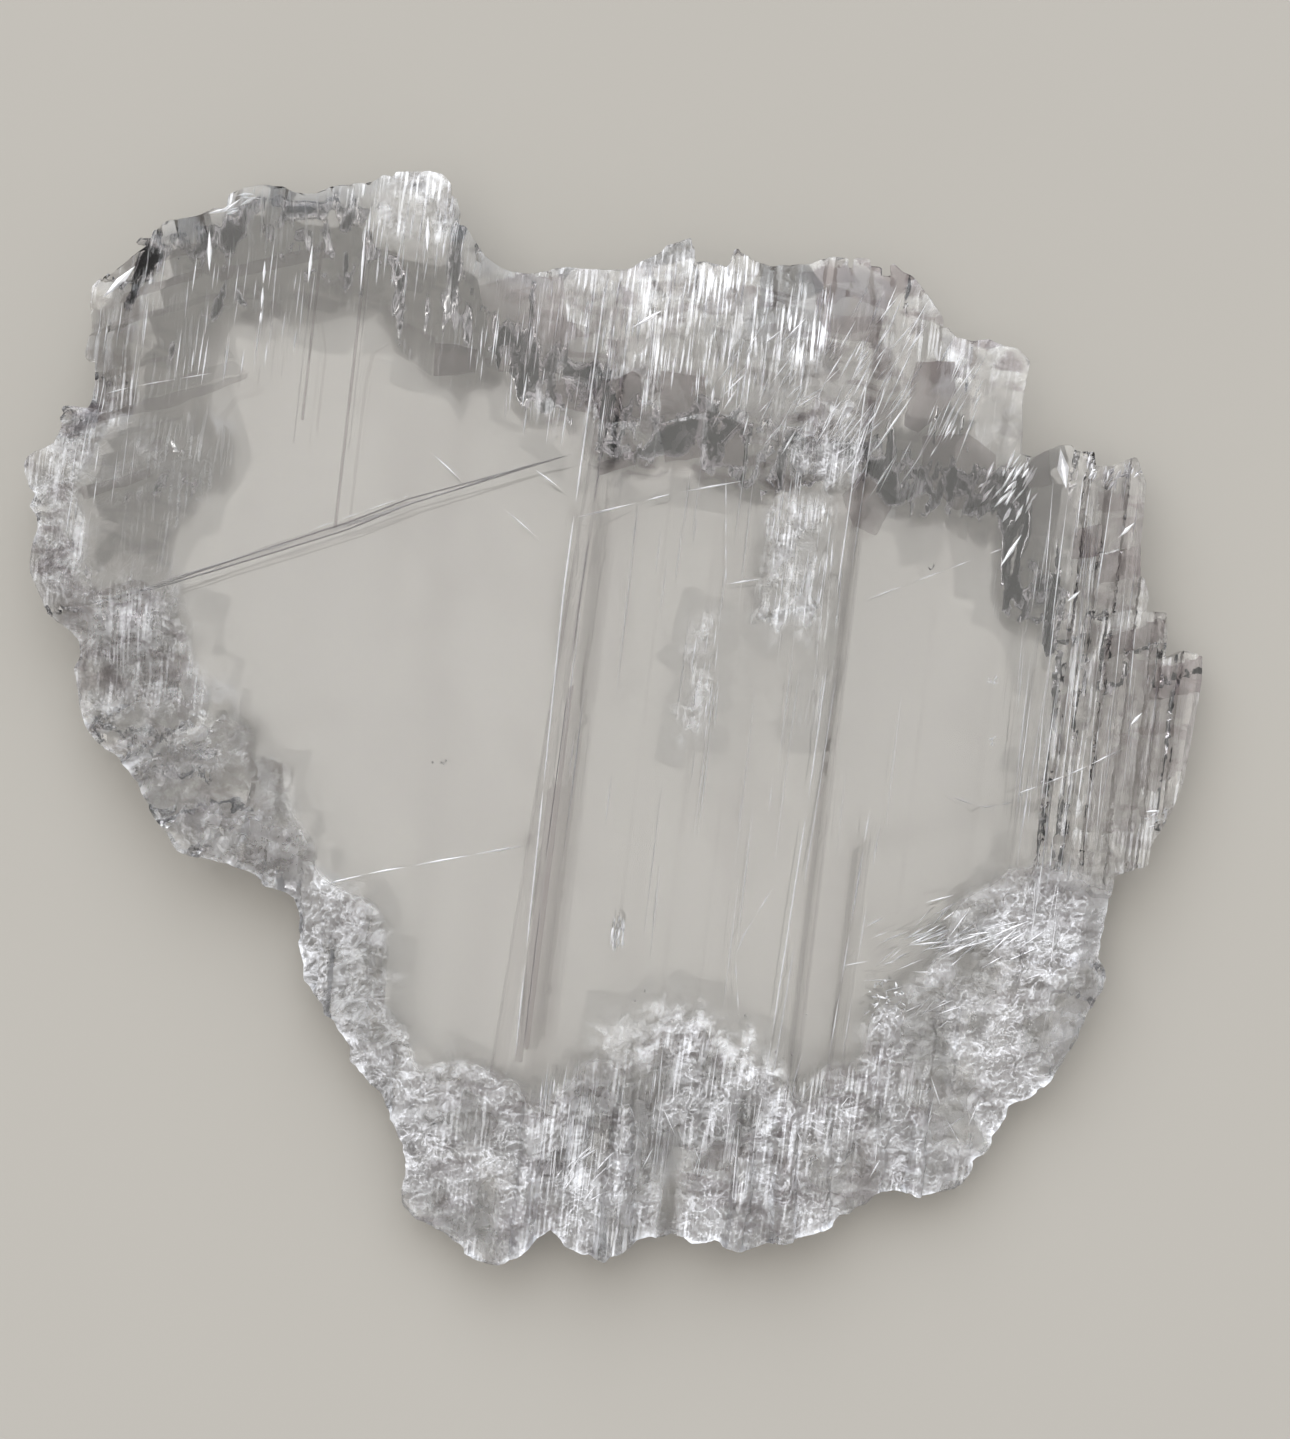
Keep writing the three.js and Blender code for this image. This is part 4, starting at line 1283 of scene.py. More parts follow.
@dataclass
class SlabMesh:
    """The whole slab as one closed mesh: two broken faces and the wall around them."""

    solid: PackedSolid
    spacing: float = 0.5  # between points where a face is broken
    coarse: float = 3.2  # between points where it is clear
    edge_spacing: float = 0.42  # between points on the outline
    rings: int = 3  # rows of points between the two faces' edges
    thinnest: float = 0.7  # least thickness away from the edge
    thinnest_edge: float = 0.6  # least thickness at the edge
    teeth: float = 0.05  # how far the outline's teeth stand out where it is clean
    frost_teeth: float = 0.22  # how much farther where it is frosty
    silk_teeth: float = 0.1  # how much farther where it is silky
    wall: float = 0.06  # how rough the wall is where it is clean
    frost_wall: float = 0.3  # how much rougher where it is frosty
    stretch: Span = (0.85, 1.15)  # how the spacing differs across and along the fibres
    ledge_margin: float = 1.5  # how near the outline a crisp line may come
    crease: float = 30.0  # degrees above which an edge stays sharp
    crumbly: float = 0.15  # frost above which the facets stay flat
    seeds: tuple[int, int] = (11, 41)
    finish: SeleniteFinish = SeleniteFinish()
    front_count: int = field(init=False)
    outline: np.ndarray = field(init=False)
    near: KDTree = field(init=False)
    front: BrokenFace = field(init=False)
    back: BrokenFace = field(init=False)

    def __post_init__(self) -> None:
        """Reads the outline and sets up both faces."""
        self.outline = self._roughened(self.solid.outline(self.edge_spacing))
        self.near = KDTree(len(self.outline))
        for k, (u, v) in enumerate(self.outline):
            self.near.insert((u, v, 0), k)
        self.near.balance()
        self.front = BrokenFace(self.solid.front, True, self.seeds[0])
        self.back = BrokenFace(self.solid.back, False, self.seeds[1])

    def _roughened(self, loop: np.ndarray) -> np.ndarray:
        """The outline with its fine teeth. The laths in the east stay crisp.

        Args:
            loop: The outline's points.

        Returns:
            The moved points.
        """
        x, y = to_part(loop[:, 0], loop[:, 1])
        depth = self.teeth + self.frost_teeth * blended("frost", True, x, y)
        depth += self.silk_teeth * blended("silk", True, x, y)
        depth *= 1 - 0.9 * Sector.LATHS.weight(x, y)
        teeth = Noise(3).layered(loop[:, 0] / 1.1, loop[:, 1] / 1.1, 3)
        return loop + outward_of(loop, 1) * (depth * teeth)[:, None]

    def room(self, u: np.ndarray, v: np.ndarray) -> np.ndarray:
        """Distance from each place to the outline."""
        return np.array([self.near.find((a, b, 0))[2] for a, b in zip(u, v)])

    def _scatter(self, face: BrokenFace) -> np.ndarray:
        """Places for one face's points: dense where it is broken, sparse where it is clear.

        Args:
            face: The face.

        Returns:
            An array of u and v.
        """
        low, high = self.outline.min(0), self.outline.max(0)
        sets = []
        for step, wants in ((self.spacing, True), (self.coarse, False)):
            columns = np.arange(low[0], high[0], step * self.stretch[0])
            rows = np.arange(low[1], high[1], step * self.stretch[1])
            us, vs = np.meshgrid(columns, rows)
            i, j = np.indices(us.shape)
            jitter = Noise(face.seed + 9)
            u = (us + step * 0.5 * (jitter.hashed(i, j, 1) - 0.5)).ravel()
            v = (vs + step * 0.5 * (jitter.hashed(i, j, 2) - 0.5)).ravel()
            dense = face.brokenness(u, v) > 0.02
            keep = self.known_inside(u, v) & (dense == wants)
            sets.append(np.column_stack([u[keep], v[keep]]))
        points = np.vstack(sets)
        return points[self.room(points[:, 0], points[:, 1]) > 0.5 * self.spacing]

    def body(self, pitch: float = 0.6) -> tuple[HeightMap, HeightMap]:
        """The finished slab's lowest and highest surface, as maps that are 0 outside it.

        Args:
            pitch: The maps' pitch.

        Returns:
            The back's map and the front's.
        """
        low, high = self.outline.min(0), self.outline.max(0)
        u, v = np.meshgrid(np.arange(low[0], high[0], pitch), np.arange(low[1], high[1], pitch))
        room = self.room(u.ravel(), v.ravel()).reshape(u.shape)
        inside = self.known_inside(u, v)
        maps = (np.where(inside, face.height(u, v, room), 0.0) for face in (self.back, self.front))
        below, above = (HeightMap((low[0], low[1]), pitch, z, inside) for z in maps)
        return below, above

    def known_inside(self, u: np.ndarray, v: np.ndarray) -> np.ndarray:
        """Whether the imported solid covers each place."""
        return self.solid.front.known_at(u, v)

    def _ledges(self, face: BrokenFace) -> tuple[list[Place], list[tuple[int, int]]]:
        """Lines that the front's mesh keeps crisp, at both sides of each strip and around each pane.

        Args:
            face: The face. The back has none.

        Returns:
            The lines' points, and pairs of neighbours among them.
        """
        points, edges = [], []
        if not face.front:
            return points, edges
        lines = [strip.line(across) for strip in STRIPS for across in (strip.low, strip.high)]
        for pane in PANES:
            loop = pane.edge()
            lines.append(to_crystal(*np.vstack([loop, loop[:1]]).T))
        for us, vs in lines:
            clear = self.known_inside(us, vs) & (self.room(us, vs) > self.ledge_margin)
            last = None
            for a, b, ok in zip(us, vs, clear):
                if not ok:
                    last = None
                    continue
                points.append((a, b))
                if last is not None:
                    edges.append((last, len(points) - 1))
                last = len(points) - 1
        return points, edges

    def _face(self, face: BrokenFace) -> tuple[np.ndarray, Faces]:
        """Meshes one face in the plan.

        Args:
            face: The face.

        Returns:
            Its points, the outline's first, and its triangles.
        """
        count = len(self.outline)
        ledge_points, ledge_edges = self._ledges(face)
        scattered = self._scatter(face)
        points = [Vector(p) for p in self.outline] + [Vector(p) for p in ledge_points]
        points += [Vector(p) for p in scattered]
        edges = [(a + count, b + count) for a, b in ledge_edges]
        made = delaunay_2d_cdt(points, edges, [list(range(count))], 1, 1e-5)
        verts, triangles, origins = made[0], made[2], made[3]
        place = np.full(len(points), -1)
        for k, origin in enumerate(origins):
            for source in origin:
                place[source] = k
        if (place[:count] < 0).any():
            raise RuntimeError("an outline point was lost")
        rim = list(place[:count])
        inner = sorted({k for triangle in triangles for k in triangle} - set(rim))
        order = rim + inner
        rank = {old: new for new, old in enumerate(order)}
        plan = np.array([verts[k] for k in order])
        return plan, [tuple(rank[k] for k in triangle) for triangle in triangles]

    def build(self) -> tuple[np.ndarray, Faces, Fields]:
        """Meshes the slab.

        Returns:
            Points in millimetres in the part's frame, faces, and each finish field's value at each point.
        """
        count = len(self.outline)
        plan_top, faces_top = self._face(self.front)
        plan_bottom, faces_bottom = self._face(self.back)
        room_top = self.room(plan_top[:, 0], plan_top[:, 1])
        room_bottom = self.room(plan_bottom[:, 0], plan_bottom[:, 1])
        top = self.front.height(plan_top[:, 0], plan_top[:, 1], room_top)
        bottom = self.back.height(plan_bottom[:, 0], plan_bottom[:, 1], room_bottom)
        roof = self.front.height(plan_bottom[:, 0], plan_bottom[:, 1], room_bottom)
        bottom = np.minimum(bottom, roof - self.thinnest)
        bottom[:count] = np.minimum(bottom[:count], top[:count] - self.thinnest_edge)
        wall, wall_plan = self._wall(top[:count], bottom[:count])
        self.front_count = first_wall = len(top)
        first_bottom = first_wall + len(wall)
        u = np.concatenate([plan_top[:, 0], wall_plan[:, 0], plan_bottom[:, 0]])
        v = np.concatenate([plan_top[:, 1], wall_plan[:, 1], plan_bottom[:, 1]])
        x, y = to_part(u, v)
        points = np.column_stack([x, y, np.concatenate([top, wall, bottom])])
        faces = list(faces_top)
        faces += [tuple(k + first_bottom for k in reversed(face)) for face in faces_bottom]
        levels = [0] + [first_wall + ring * count for ring in range(self.rings)] + [first_bottom]
        for high, low in zip(levels, levels[1:]):
            for k in range(count):
                n = (k + 1) % count
                faces += [(high + k, low + k, low + n), (high + k, low + n, high + n)]
        parts = (
            self.front.finish(plan_top[:, 0], plan_top[:, 1], room_top),
            self.front.finish(wall_plan[:, 0], wall_plan[:, 1], np.zeros(len(wall))),
            self.back.finish(plan_bottom[:, 0], plan_bottom[:, 1], room_bottom),
        )
        fields = {name: np.concatenate([part[name] for part in parts]) for name in FINISH_FIELDS}
        return points, faces, fields

    def piece(self) -> bpy.types.Object:
        """Builds the slab's object and dresses it.

        Returns:
            The object.
        """
        points, faces, fields = self.build()
        slab = mesh_object("selenite_crystal", points, faces, fields, self.shade_and_calm(points, faces))
        slab.data.materials.append(self.finish.broken())
        slab.data.materials.append(self.finish.clear())
        worn = sum(fields.values()) > 1e-4
        clear = [0 if worn[list(face)].any() else 1 for face in faces]
        slab.data.polygons.foreach_set("material_index", clear)
        slab.data.set_sharp_from_angle(angle=math.radians(self.crease))
        crumbly = fields["frost"] > self.crumbly
        slab.data.polygons.foreach_set("use_smooth", [not crumbly[list(face)].all() for face in faces])
        return slab

    def shade_and_calm(self, points: np.ndarray, faces: Faces) -> Fields:
        """How much painted shade and how much calm each face of the front has, where a strip or a pane lies.

        Args:
            points: The mesh's points.
            faces: The mesh's faces.

        Returns:
            The painted shade and the calm on each face.
        """
        middles = points[np.array(faces)].mean(axis=1)
        x, y = middles[:, 0], middles[:, 1]
        u, v = to_crystal(x, y)
        front = np.array([face[0] < self.front_count for face in faces])
        painted_crisp_shade = np.zeros(len(faces))
        for strip in STRIPS:
            painted_crisp_shade = np.maximum(painted_crisp_shade, strip.shade * strip.holds(u, v))
        for pane in PANES:
            painted_crisp_shade = np.maximum(painted_crisp_shade, pane.shade * pane.holds(x, y))
        return {"painted_crisp_shade": painted_crisp_shade * front, "calm": calmness(x, y) * front}

    def _wall(self, top: np.ndarray, bottom: np.ndarray) -> tuple[np.ndarray, np.ndarray]:
        """Makes the rings of points between the two faces' edges.

        Args:
            top: Heights of the front's edge.
            bottom: Heights of the back's edge.

        Returns:
            The rings' heights, from the top ring down, and their places.
        """
        heights, places = [], []
        outward = outward_of(self.outline, 1)
        x, y = to_part(self.outline[:, 0], self.outline[:, 1])
        roughness = self.wall + self.frost_wall * blended("frost", True, x, y)
        for ring in range(self.rings):
            share = (ring + 1) / (self.rings + 1)
            wobble = Noise(61 + ring).layered(self.outline[:, 0] / 1.3, self.outline[:, 1] / 1.3, 2)
            heights.append(top + (bottom - top) * share)
            places.append(self.outline + outward * (roughness * wobble)[:, None])
        return np.concatenate(heights), np.vstack(places)


@dataclass(frozen=True)
class Crack:
    """A long fine line inside the crystal, as a path of places in the part's frame, in millimetres."""

    path: tuple[Place, ...]
    width: float = 0.22
    shade: float = 1.0  # 1 is white and 0 is dark
    belly: float = 0.0  # how far two strands stand apart in the middle
    depth: float = 0.02  # how far below the front face it runs
    broken: float = 0.35  # share of its length that is missing


@dataclass(frozen=True)
class Bundle:
    """Many short needles in one patch of the crystal, in millimetres and degrees."""

    centre: Place
    size: Span  # half of what the patch measures along x and y
    count: int
    length: Span = (2.0, 7.0)
    width: Span = (0.07, 0.16)
    shade: Span = (0.8, 1.0)
    heading: float = 83.2  # along the fibres
    spread: float = 1.5  # standard deviation of the heading
    depth: Span = (-0.05, 0.25)  # below the front face


@dataclass
class Needles:
    """The cracks, fibres, specks and painted glints in and on the slab, as slender closed spindles."""

    slab: SlabMesh
    seed: int = 7
    tallest: float = 0.14  # most that a needle stands above its own line
    steepest: float = 0.6  # most that it stands above its own line for each millimetre of width
    keel: float = 0.3  # how far it hangs below its own line for each millimetre of width
    thinnest: float = 1.0  # least thickness of slab that holds a needle
    floor_gap: float = 0.4  # how far above the back face it stays
    dash: float = 3.0  # least length of a crack's dash
    step: float = 2.5  # length of a dash's straight stretches
    finish: NeedleFinish = NeedleFinish()
    random: np.random.Generator = field(init=False)
    below: HeightMap = field(init=False)
    above: HeightMap = field(init=False)
    points: list[tuple[float, float, float]] = field(default_factory=list)
    faces: list[tuple[int, int, int]] = field(default_factory=list)
    shades: list[float] = field(default_factory=list)
    cracks: tuple[Crack, ...] = (
        # The two long ledges, with white edges.
        Crack(((-0.9, 57.0), (-6.4, 16.7), (-12.7, -43.8)), width=0.22, shade=0.85, broken=0.05),
        Crack(((-0.2, 44.0), (-4.6, 14.0), (-8.4, -15.0), (-11.6, -42.0)), width=0.14, shade=0.1, broken=0.3),
        Crack(((31.9, 44.0), (24.6, -8.3), (17.9, -52.0)), width=0.18, shade=0.8, broken=0.3),
        Crack(((33.2, 42.0), (25.8, -8.3), (19.1, -50.0)), width=0.14, shade=0.6, broken=0.5),
        Crack(((32.1, -11.4), (26.9, -43.1)), width=0.20, shade=0.85, broken=0.3),
        Crack(((33.4, -13.0), (28.6, -43.0)), width=0.14, shade=0.8, broken=0.5),
        # The crack that crosses the west, open like a spindle.
        Crack(
            ((-66.7, 14.8), (-56.9, 17.2), (-33.4, 24.7), (-25.9, 27.7), (-5.3, 33.7)),
            width=0.2, shade=0.15, belly=0.8, depth=0.5, broken=0.0,
        ),
        Crack(((-60.0, 16.7), (-33.0, 24.9), (-10.0, 32.6)), width=0.12, shade=0.3, belly=0.2, broken=0.4),
        Crack(((-38.0, 24.2), (-26.0, 28.4)), width=0.14, shade=0.9, broken=0.5),
        # Lines of the second cleavage.
        Crack(((-4.8, 25.7), (7.6, 28.8), (16.5, 30.4)), width=0.28, broken=0.2),
        Crack(((-38.7, -21.4), (-33.5, -19.6), (-11.4, -15.6)), width=0.28, broken=0.1),
        Crack(((31.8, 15.4), (48.9, 21.8)), width=0.16, shade=0.9, broken=0.5),
        Crack(((50.5, -9.2), (58.1, -6.4), (64.5, -3.4)), width=0.22, broken=0.15),
        Crack(((-64.5, 41.5), (-50.2, 43.9)), width=0.16, shade=0.9, broken=0.3),
        # Curved faint cracks and the square corner line.
        Crack(((19.8, -21.1), (15.1, -28.8), (15.6, -37.0)), width=0.16, shade=0.7, broken=0.1),
        Crack(((42.5, -9.5), (46.4, -10.9), (50.2, -10.2)), width=0.2, shade=0.4, broken=0.1),
        Crack(((14.0, 30.7), (14.0, 17.3)), width=0.18, shade=0.9, broken=0.2),
        Crack(((14.0, 17.3), (18.4, 18.0)), width=0.28, broken=0.0),
        # Short white needles at 45 degrees.
        Crack(((-22.9, 33.7), (-19.3, 30.3)), width=0.3, broken=0.0),
        Crack(((-10.0, 31.7), (-7.1, 29.5)), width=0.32, broken=0.0),
        Crack(((-13.6, 26.5), (-9.8, 23.2)), width=0.22, broken=0.0),
        # Painted glints: white slivers at the front face that stand in for highlights along the north west, the
        # crown and the east.
        Crack(((-64.8, 53.6), (-60.6, 57.6)), width=1.1, depth=-0.05, broken=0.0),
        Crack(((-51.0, 61.8), (-51.0, 56.6)), width=0.7, depth=-0.05, broken=0.0),
        Crack(((-23.5, 63.6), (-23.6, 59.0)), width=0.6, depth=-0.05, broken=0.0),
        Crack(((-38.0, 60.2), (-38.6, 55.0)), width=0.45, depth=-0.05, broken=0.0),
        Crack(((-31.4, 62.0), (-32.0, 54.0)), width=0.4, depth=-0.05, broken=0.0),
        Crack(((-44.0, 58.0), (-44.6, 50.0)), width=0.4, depth=-0.05, broken=0.1),
        Crack(((51.3, 23.6), (48.6, 19.5)), width=0.6, depth=-0.05, broken=0.0),
        Crack(((56.2, 34.4), (56.9, 29.4)), width=1.5, depth=-0.05, broken=0.0),
        Crack(((57.0, 15.1), (58.8, 16.5)), width=0.45, depth=-0.05, broken=0.0),
        Crack(((65.4, -0.5), (66.9, 1.1)), width=0.5, depth=-0.05, broken=0.0),
        Crack(((63.6, 23.2), (65.8, 25.2)), width=0.5, depth=-0.05, broken=0.0),
        Crack(((2.0, 49.5), (6.0, 51.8)), width=0.6, depth=-0.05, broken=0.0),
    )
    bundles: tuple[Bundle, ...] = (
        Bundle((-53, 52), (16, 9), 46, (2.5, 8.0), (0.10, 0.24)),
        Bundle((-66, 38), (7, 14), 26, (2.5, 9.0), (0.10, 0.2)),
        # A painted glint: white needles that stand in for a highlight on the north west's rim.
        Bundle((-48, 65), (2.6, 1.6), 20, (1.5, 3.5), (0.25, 0.6), heading=20.0, spread=12.0),
        Bundle((-24, 60), (9, 5), 60, (2.0, 6.0), (0.12, 0.32)),
        Bundle((-6, 46), (13, 9), 60, (2.0, 8.0), (0.10, 0.28)),
        Bundle((11, 50), (17, 9), 130, (1.5, 7.0), (0.12, 0.45)),
        Bundle((36, 42), (10, 13), 90, (2.0, 9.0), (0.12, 0.32), heading=62.0, spread=6.0),
        Bundle((24, 41), (12, 9), 70, (2.0, 6.0), (0.10, 0.3), heading=55.0, spread=12.0),
        Bundle((62, 10), (9, 26), 60, (5.0, 20.0), (0.09, 0.2)),
        Bundle((54, -8), (4, 30), 36, (5.0, 20.0), (0.08, 0.18)),
        Bundle((23.5, 22), (4.0, 9.5), 50, (1.2, 6.0), (0.10, 0.25)),
        Bundle((11.5, 5.5), (1.8, 8.0), 22, (1.0, 4.0), (0.10, 0.22)),
        Bundle((14, 0), (22, 30), 40, (4.0, 26.0), (0.08, 0.14), (0.6, 1.0), spread=0.3, depth=(0.3, 9.0)),
        Bundle((-6.5, -53), (4.5, 8.0), 60, (2.0, 8.0), (0.12, 0.3)),
        Bundle((-3.5, -59), (4.0, 4.0), 30, (1.5, 5.0), (0.12, 0.3), heading=48.0, spread=8.0),
        Bundle((42, -30), (12, 8), 40, (1.5, 5.0), (0.10, 0.26), heading=25.0, spread=14.0),
        Bundle((22, -52), (26, 8), 70, (1.0, 5.0), (0.10, 0.26), heading=80.0, spread=25.0),
        Bundle((8, -51), (16, 7), 44, (3.0, 12.0), (0.08, 0.2), (0.7, 1.0), spread=1.0),
        Bundle((0.4, -26.8), (0.9, 2.0), 46, (0.6, 2.0), (0.12, 0.3), (0.7, 0.95), spread=4.0),
        # Painted glints: white needles that stand in for highlights in the north east and at the top of the
        # laths.
        Bundle((49.5, 29.5), (3.6, 3.6), 34, (1.0, 3.5), (0.25, 0.7), heading=60.0, spread=10.0),
        Bundle((63.3, 31.3), (3.4, 1.4), 26, (0.8, 2.6), (0.25, 0.6), heading=75.0, spread=20.0),
        Bundle((60.3, 33.2), (1.0, 1.2), 14, (1.0, 2.4), (0.3, 0.6), heading=85.0, spread=10.0),
        Bundle((69.5, -12.4), (1.8, 1.4), 14, (0.5, 2.0), (0.15, 0.4), heading=30.0, spread=30.0),
        Bundle((45.5, -27.3), (8.5, 1.6), 70, (1.5, 6.0), (0.14, 0.36), heading=20.0, spread=9.0),
        # Specks.
        Bundle((34.2, -36.0), (2.6, 3.4), 60, (0.3, 1.1), (0.15, 0.4), spread=60.0),
        Bundle((47.6, 5.3), (0.7, 0.9), 9, (0.3, 0.8), (0.12, 0.3), spread=60.0),
        Bundle((47.6, -2.3), (0.5, 0.6), 6, (0.3, 0.7), (0.12, 0.25), spread=60.0),
        Bundle((-21.6, -4.9), (1.8, 0.4), 4, (0.4, 0.7), (0.2, 0.35), (0.0, 0.1), spread=60.0),
        Bundle((40.0, 19.2), (0.4, 0.5), 3, (0.5, 0.9), (0.15, 0.3), (0.0, 0.1), spread=60.0),
        Bundle((8, -40), (20, 8), 20, (0.2, 0.5), (0.1, 0.25), (0.0, 0.15), spread=80.0),
    )

    def __post_init__(self) -> None:
        """Seeds the needles and reads the slab's two surfaces."""
        self.random = np.random.default_rng(self.seed)
        self.below, self.above = self.slab.body()

    def piece(self) -> bpy.types.Object:
        """Makes every crack and bundle, as one dressed object.

        Returns:
            The object.
        """
        for crack in self.cracks:
            self._crack(crack)
        for bundle in self.bundles:
            self._bundle(bundle)
        shades = {"shade": np.array(self.shades)}
        needles = mesh_object("selenite_needles", np.array(self.points), self.faces, shades)
        needles.data.materials.append(self.finish.material())
        return needles

    def _crack(self, crack: Crack) -> None:
        """Makes one crack, as dashes along its path, in two strands where it has a belly.

        Args:
            crack: The crack.
        """
        nodes = np.array(crack.path)
        ahead = nodes[-1] - nodes[0]
        across = np.array([-ahead[1], ahead[0]]) / np.linalg.norm(ahead)
        run = run_along(nodes)
        total = run[-1]
        for side in (-1, 1) if crack.belly else (0,):
            start = 0.0
            while start < total:
                stop = min(total, start + max(self.dash, total * self.random.uniform(0.12, 0.4)))
                if crack.broken == 0.0:
                    stop = total
                count = max(3, int((stop - start) / self.step))
                stops = np.linspace(start, stop, count)
                x, y = np.interp(stops, run, nodes[:, 0]), np.interp(stops, run, nodes[:, 1])
                bend = side * crack.belly / 2 * np.clip(np.sin(np.pi * stops / total), 0, 1) ** 1.5
                x, y = x + across[0] * bend, y + across[1] * bend
                self._spindle(x, y, crack.depth, crack.width, crack.shade)
                start = stop + total * crack.broken * self.random.uniform(0.0, 0.3)

    def _bundle(self, bundle: Bundle) -> None:
        """Makes all the needles of one bundle.

        Args:
            bundle: The bundle.
        """
        for _ in range(bundle.count):
            reach, turn = math.sqrt(self.random.uniform()), self.random.uniform(0, math.tau)
            x = bundle.centre[0] + bundle.size[0] * reach * math.cos(turn)
            y = bundle.centre[1] + bundle.size[1] * reach * math.sin(turn)
            heading = math.radians(self.random.normal(bundle.heading, bundle.spread))
            half = self.random.uniform(*bundle.length) / 2
            along = np.array([-half, 0.0, half])
            self._spindle(
                x + along * math.cos(heading),
                y + along * math.sin(heading),
                self.random.uniform(*bundle.depth),
                self.random.uniform(*bundle.width),
                self.random.uniform(*bundle.shade),
            )

    def _spindle(self, x: np.ndarray, y: np.ndarray, depth: float, width: float, shade: float) -> None:
        """Makes a closed spindle along a path, left out where the slab is too thin to hold it.

        Args:
            x: The path's places.
            y: The path's places.
            depth: How far below the front face it runs.
            width: How wide it is in the middle.
            shade: How white it is, 0 to 1.
        """
        u, v = to_crystal(x, y)
        low, high = self.below.at(u, v), self.above.at(u, v)
        if (high - low).min() < self.thinnest:
            return
        heights = np.maximum(low + self.floor_gap, high - depth)
        first, last = len(self.points), len(x) - 1
        across = np.array([-(y[-1] - y[0]), x[-1] - x[0]])
        across /= max(np.linalg.norm(across), TINY)
        ridge = min(self.steepest, self.tallest / width)
        self.points.append((x[0], y[0], heights[0]))
        for k in range(1, last):
            for side, rise in ((-1, -self.keel), (1, -self.keel), (0, ridge)):
                shift = across * side * width / 2
                self.points.append((x[k] + shift[0], y[k] + shift[1], heights[k] + rise * width))
        self.points.append((x[-1], y[-1], heights[-1]))
        rings = [[first] * 3] + [[first + 1 + 3 * k + n for n in range(3)] for k in range(last - 1)]
        rings.append([len(self.points) - 1] * 3)
        for near, far in zip(rings, rings[1:]):
            for n in range(3):
                a, b, c, d = near[n], near[(n + 1) % 3], far[(n + 1) % 3], far[n]
                self.faces += [face for face in ((a, b, c), (a, c, d)) if len(set(face)) == 3]
        self.shades += [shade] * (len(self.points) - len(self.shades))


def mesh_object(
    name: str, points: np.ndarray, faces: Faces, fields: Fields, shade_and_calm: Fields | None = None
) -> bpy.types.Object:
    """A mesh object in metres.

    Args:
        name: The piece's name.
        points: Places in millimetres.
        faces: Each face's points.
        fields: Values at each point, by name.
        shade_and_calm: Values on each face, by name: the painted shade and the calm.

    Returns:
        The object.
    """
    mesh = bpy.data.meshes.new(name)
    mesh.from_pydata((points * MM).tolist(), [], faces)
    for domain, group in (("POINT", fields), ("FACE", shade_and_calm or {})):
        for key, values in group.items():
            attribute = mesh.attributes.new(key, "FLOAT", domain)
            attribute.data.foreach_set("value", values.astype(np.float32))
    mesh.update()
    piece = bpy.data.objects.new(name, mesh)
    bpy.context.scene.collection.objects.link(piece)
    return piece


# ---- The studio ----


@dataclass(frozen=True)
class Lamp:
    """A soft round patch of light in the studio's sky."""

    towards: tuple[float, float, float]
    colour: Colour
    edge: float  # cosine of the angle at which it ends
    core: float  # cosine of the angle at which it is full


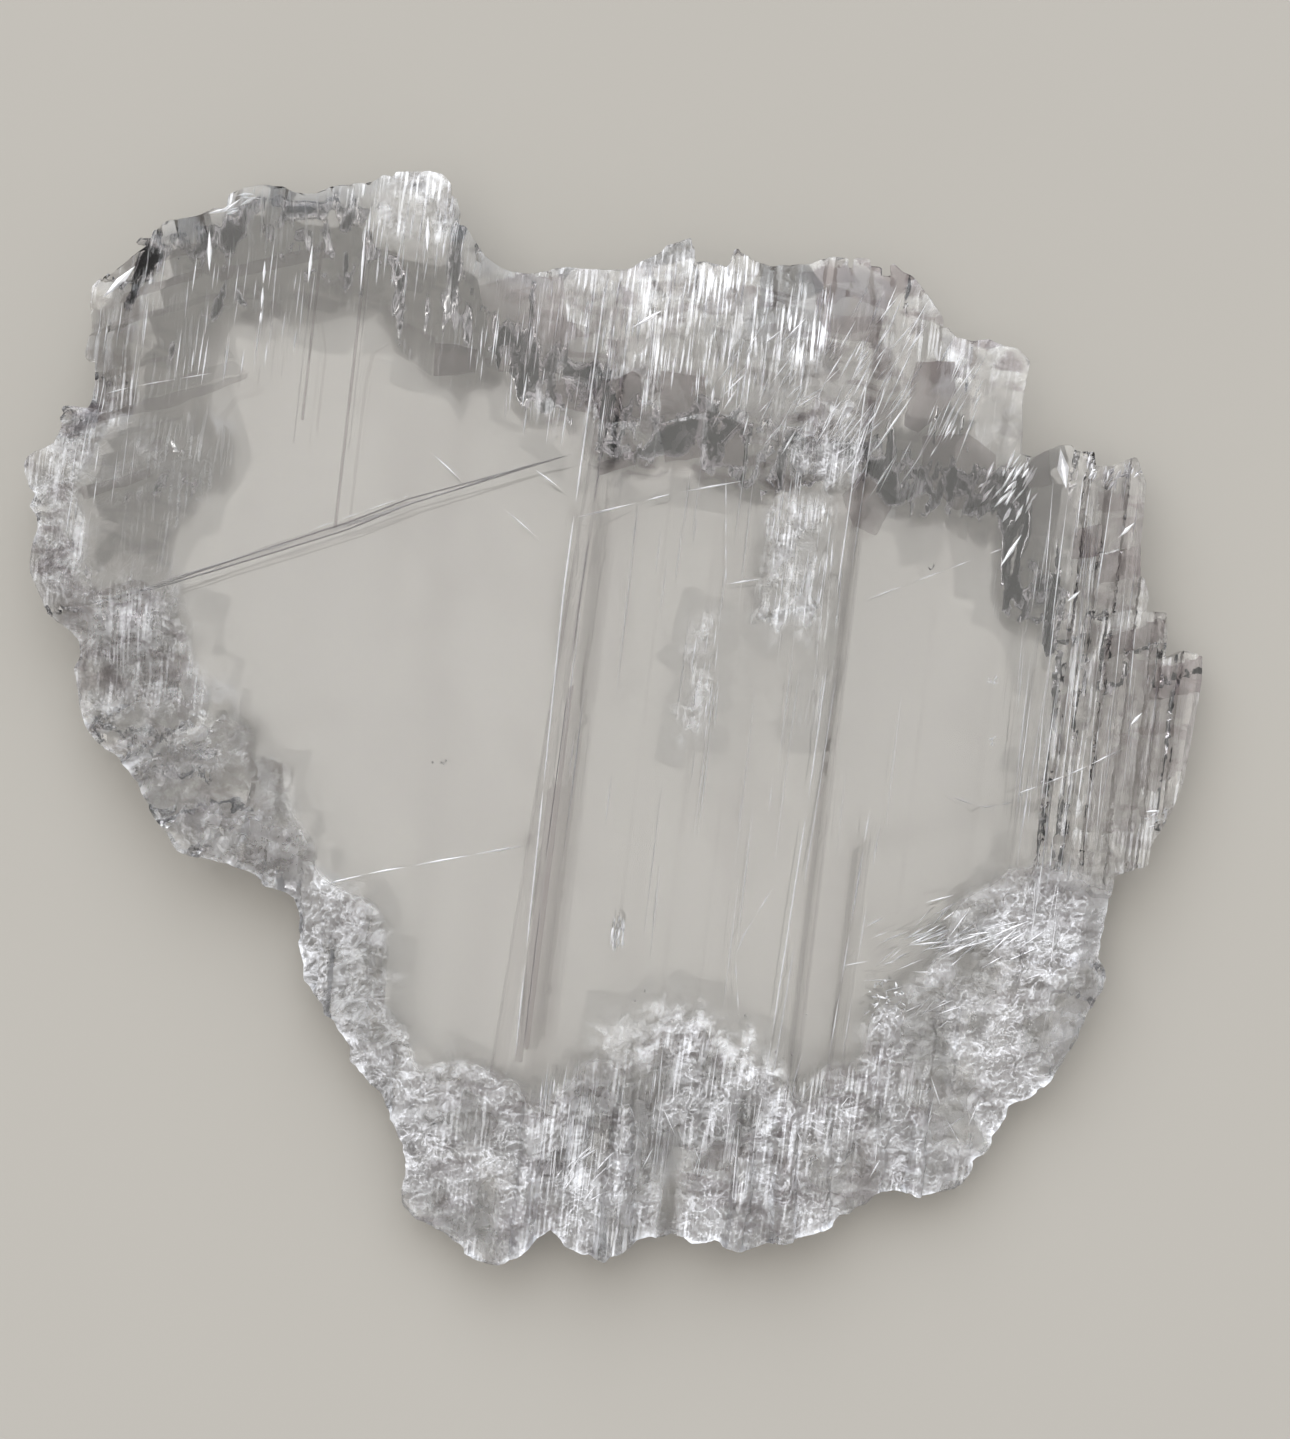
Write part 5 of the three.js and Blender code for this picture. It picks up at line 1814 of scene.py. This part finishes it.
@dataclass
class Studio:
    """The floor, the soft room light and the camera that looks straight down."""

    sight_plane: float = 10.0  # height at which the picture's scale is true
    distance: float = 420.0
    picture_height: float = 182.75  # what the picture's long side covers at the sight plane
    centre: Place = (3.8, 0.25)
    sensor: float = 36.0
    nearest: float = 0.01  # metres from the camera at which things begin to show
    floor_half: float = 6.0  # metres
    floor_gap: float = 0.0002  # metres that the floor lies below the slab
    brightest: tuple[float, float, float] = (0.0, 0.5, 0.87)  # where the room is brightest
    dim: Colour = (0.38, 0.36, 0.37)
    bright: Colour = (0.835, 0.83, 0.815)
    backdrop: Colour = (0.60, 0.59, 0.57)
    lamps: tuple[Lamp, ...] = (
        Lamp((-0.12, 0.62, 0.78), (3.5, 3.62, 3.8), 0.74, 0.93),
        Lamp((-0.15, 0.06, 1.0), (3.3, 3.25, 3.12), 0.86, 0.995),
    )

    def floor(self) -> bpy.types.Object:
        """Makes the surface that the slab lies on.

        Returns:
            The floor.
        """
        half, gap = self.floor_half, self.floor_gap
        mesh = bpy.data.meshes.new("floor")
        corners = [(-half, -half, -gap), (half, -half, -gap), (half, half, -gap), (-half, half, -gap)]
        mesh.from_pydata(corners, [], [(0, 1, 2, 3)])
        floor = bpy.data.objects.new("floor", mesh)
        bpy.context.scene.collection.objects.link(floor)
        mesh.materials.append(FloorFinish().material())
        return floor

    def world(self) -> None:
        """Makes a dim room, brighter overhead and in the north, with lamps, around a pale backdrop."""
        world = bpy.data.worlds.new("studio")
        bpy.context.scene.world = world
        graph = Graph(world)
        towards = graph.add("TexCoord").outputs["Generated"]
        overhead = graph.rise(self._facing(graph, towards, self.brightest), -0.1, 0.9)
        colour = graph.blend(overhead, self.dim, self.bright)
        for lamp in self.lamps:
            share = graph.rise(self._facing(graph, towards, lamp.towards), lamp.edge, lamp.core)
            colour = graph.blend(share, colour, lamp.colour)
        seen = graph.add("LightPath").outputs["Is Camera Ray"]
        graph.set(graph.nodes["Background"].inputs["Color"], graph.blend(seen, colour, self.backdrop))

    @staticmethod
    def _facing(
        graph: Graph, towards: bpy.types.NodeSocket, direction: tuple[float, float, float]
    ) -> bpy.types.NodeSocket:
        """Adds a reader of how nearly the sky is looked at in a direction.

        Args:
            graph: The world's graph.
            towards: The way that a ray goes.
            direction: The direction.

        Returns:
            The cosine of the angle between them.
        """
        dot = graph.add("VectorMath", {"operation": "DOT_PRODUCT"})
        graph.set(dot.inputs[0], towards)
        dot.inputs[1].default_value = Vector(direction).normalized()
        return dot.outputs["Value"]

    def camera(self) -> None:
        """Makes a camera straight above, with +Y at the top of the picture."""
        data = bpy.data.cameras.new("camera")
        data.sensor_fit = "AUTO"
        data.sensor_width = self.sensor
        data.lens = self.sensor * self.distance / self.picture_height
        data.clip_start = self.nearest
        camera = bpy.data.objects.new("camera", data)
        bpy.context.scene.collection.objects.link(camera)
        height = self.sight_plane + self.distance
        camera.location = (self.centre[0] * MM, self.centre[1] * MM, height * MM)
        bpy.context.scene.camera = camera

    def render_limits(self) -> None:
        """Sets enough bounces for light to work its way through the crystal."""
        cycles = bpy.context.scene.cycles
        cycles.max_bounces = 8
        cycles.transmission_bounces = 8
        cycles.glossy_bounces = 2
        cycles.diffuse_bounces = 1
        bpy.context.scene.view_settings.view_transform = "Standard"


def main() -> None:
    """Builds the slab and the studio."""
    logging.basicConfig(level=logging.INFO, format="%(name)s: %(message)s")
    solid = PackedSolid(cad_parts["selenite_slab"])
    LOG.info("read the packed solid")
    shape = SlabMesh(solid)
    slab = shape.piece()
    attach(slab, "root")
    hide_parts("selenite_slab")
    LOG.info("%s: %d faces", slab.name, len(slab.data.polygons))
    needles = Needles(shape).piece()
    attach(needles, "root")
    LOG.info("%s: %d faces", needles.name, len(needles.data.polygons))
    studio = Studio()
    floor = studio.floor()
    LOG.info("%s: %d face", floor.name, len(floor.data.polygons))
    studio.world()
    studio.camera()
    studio.render_limits()


if __name__ == "__main__":
    main()
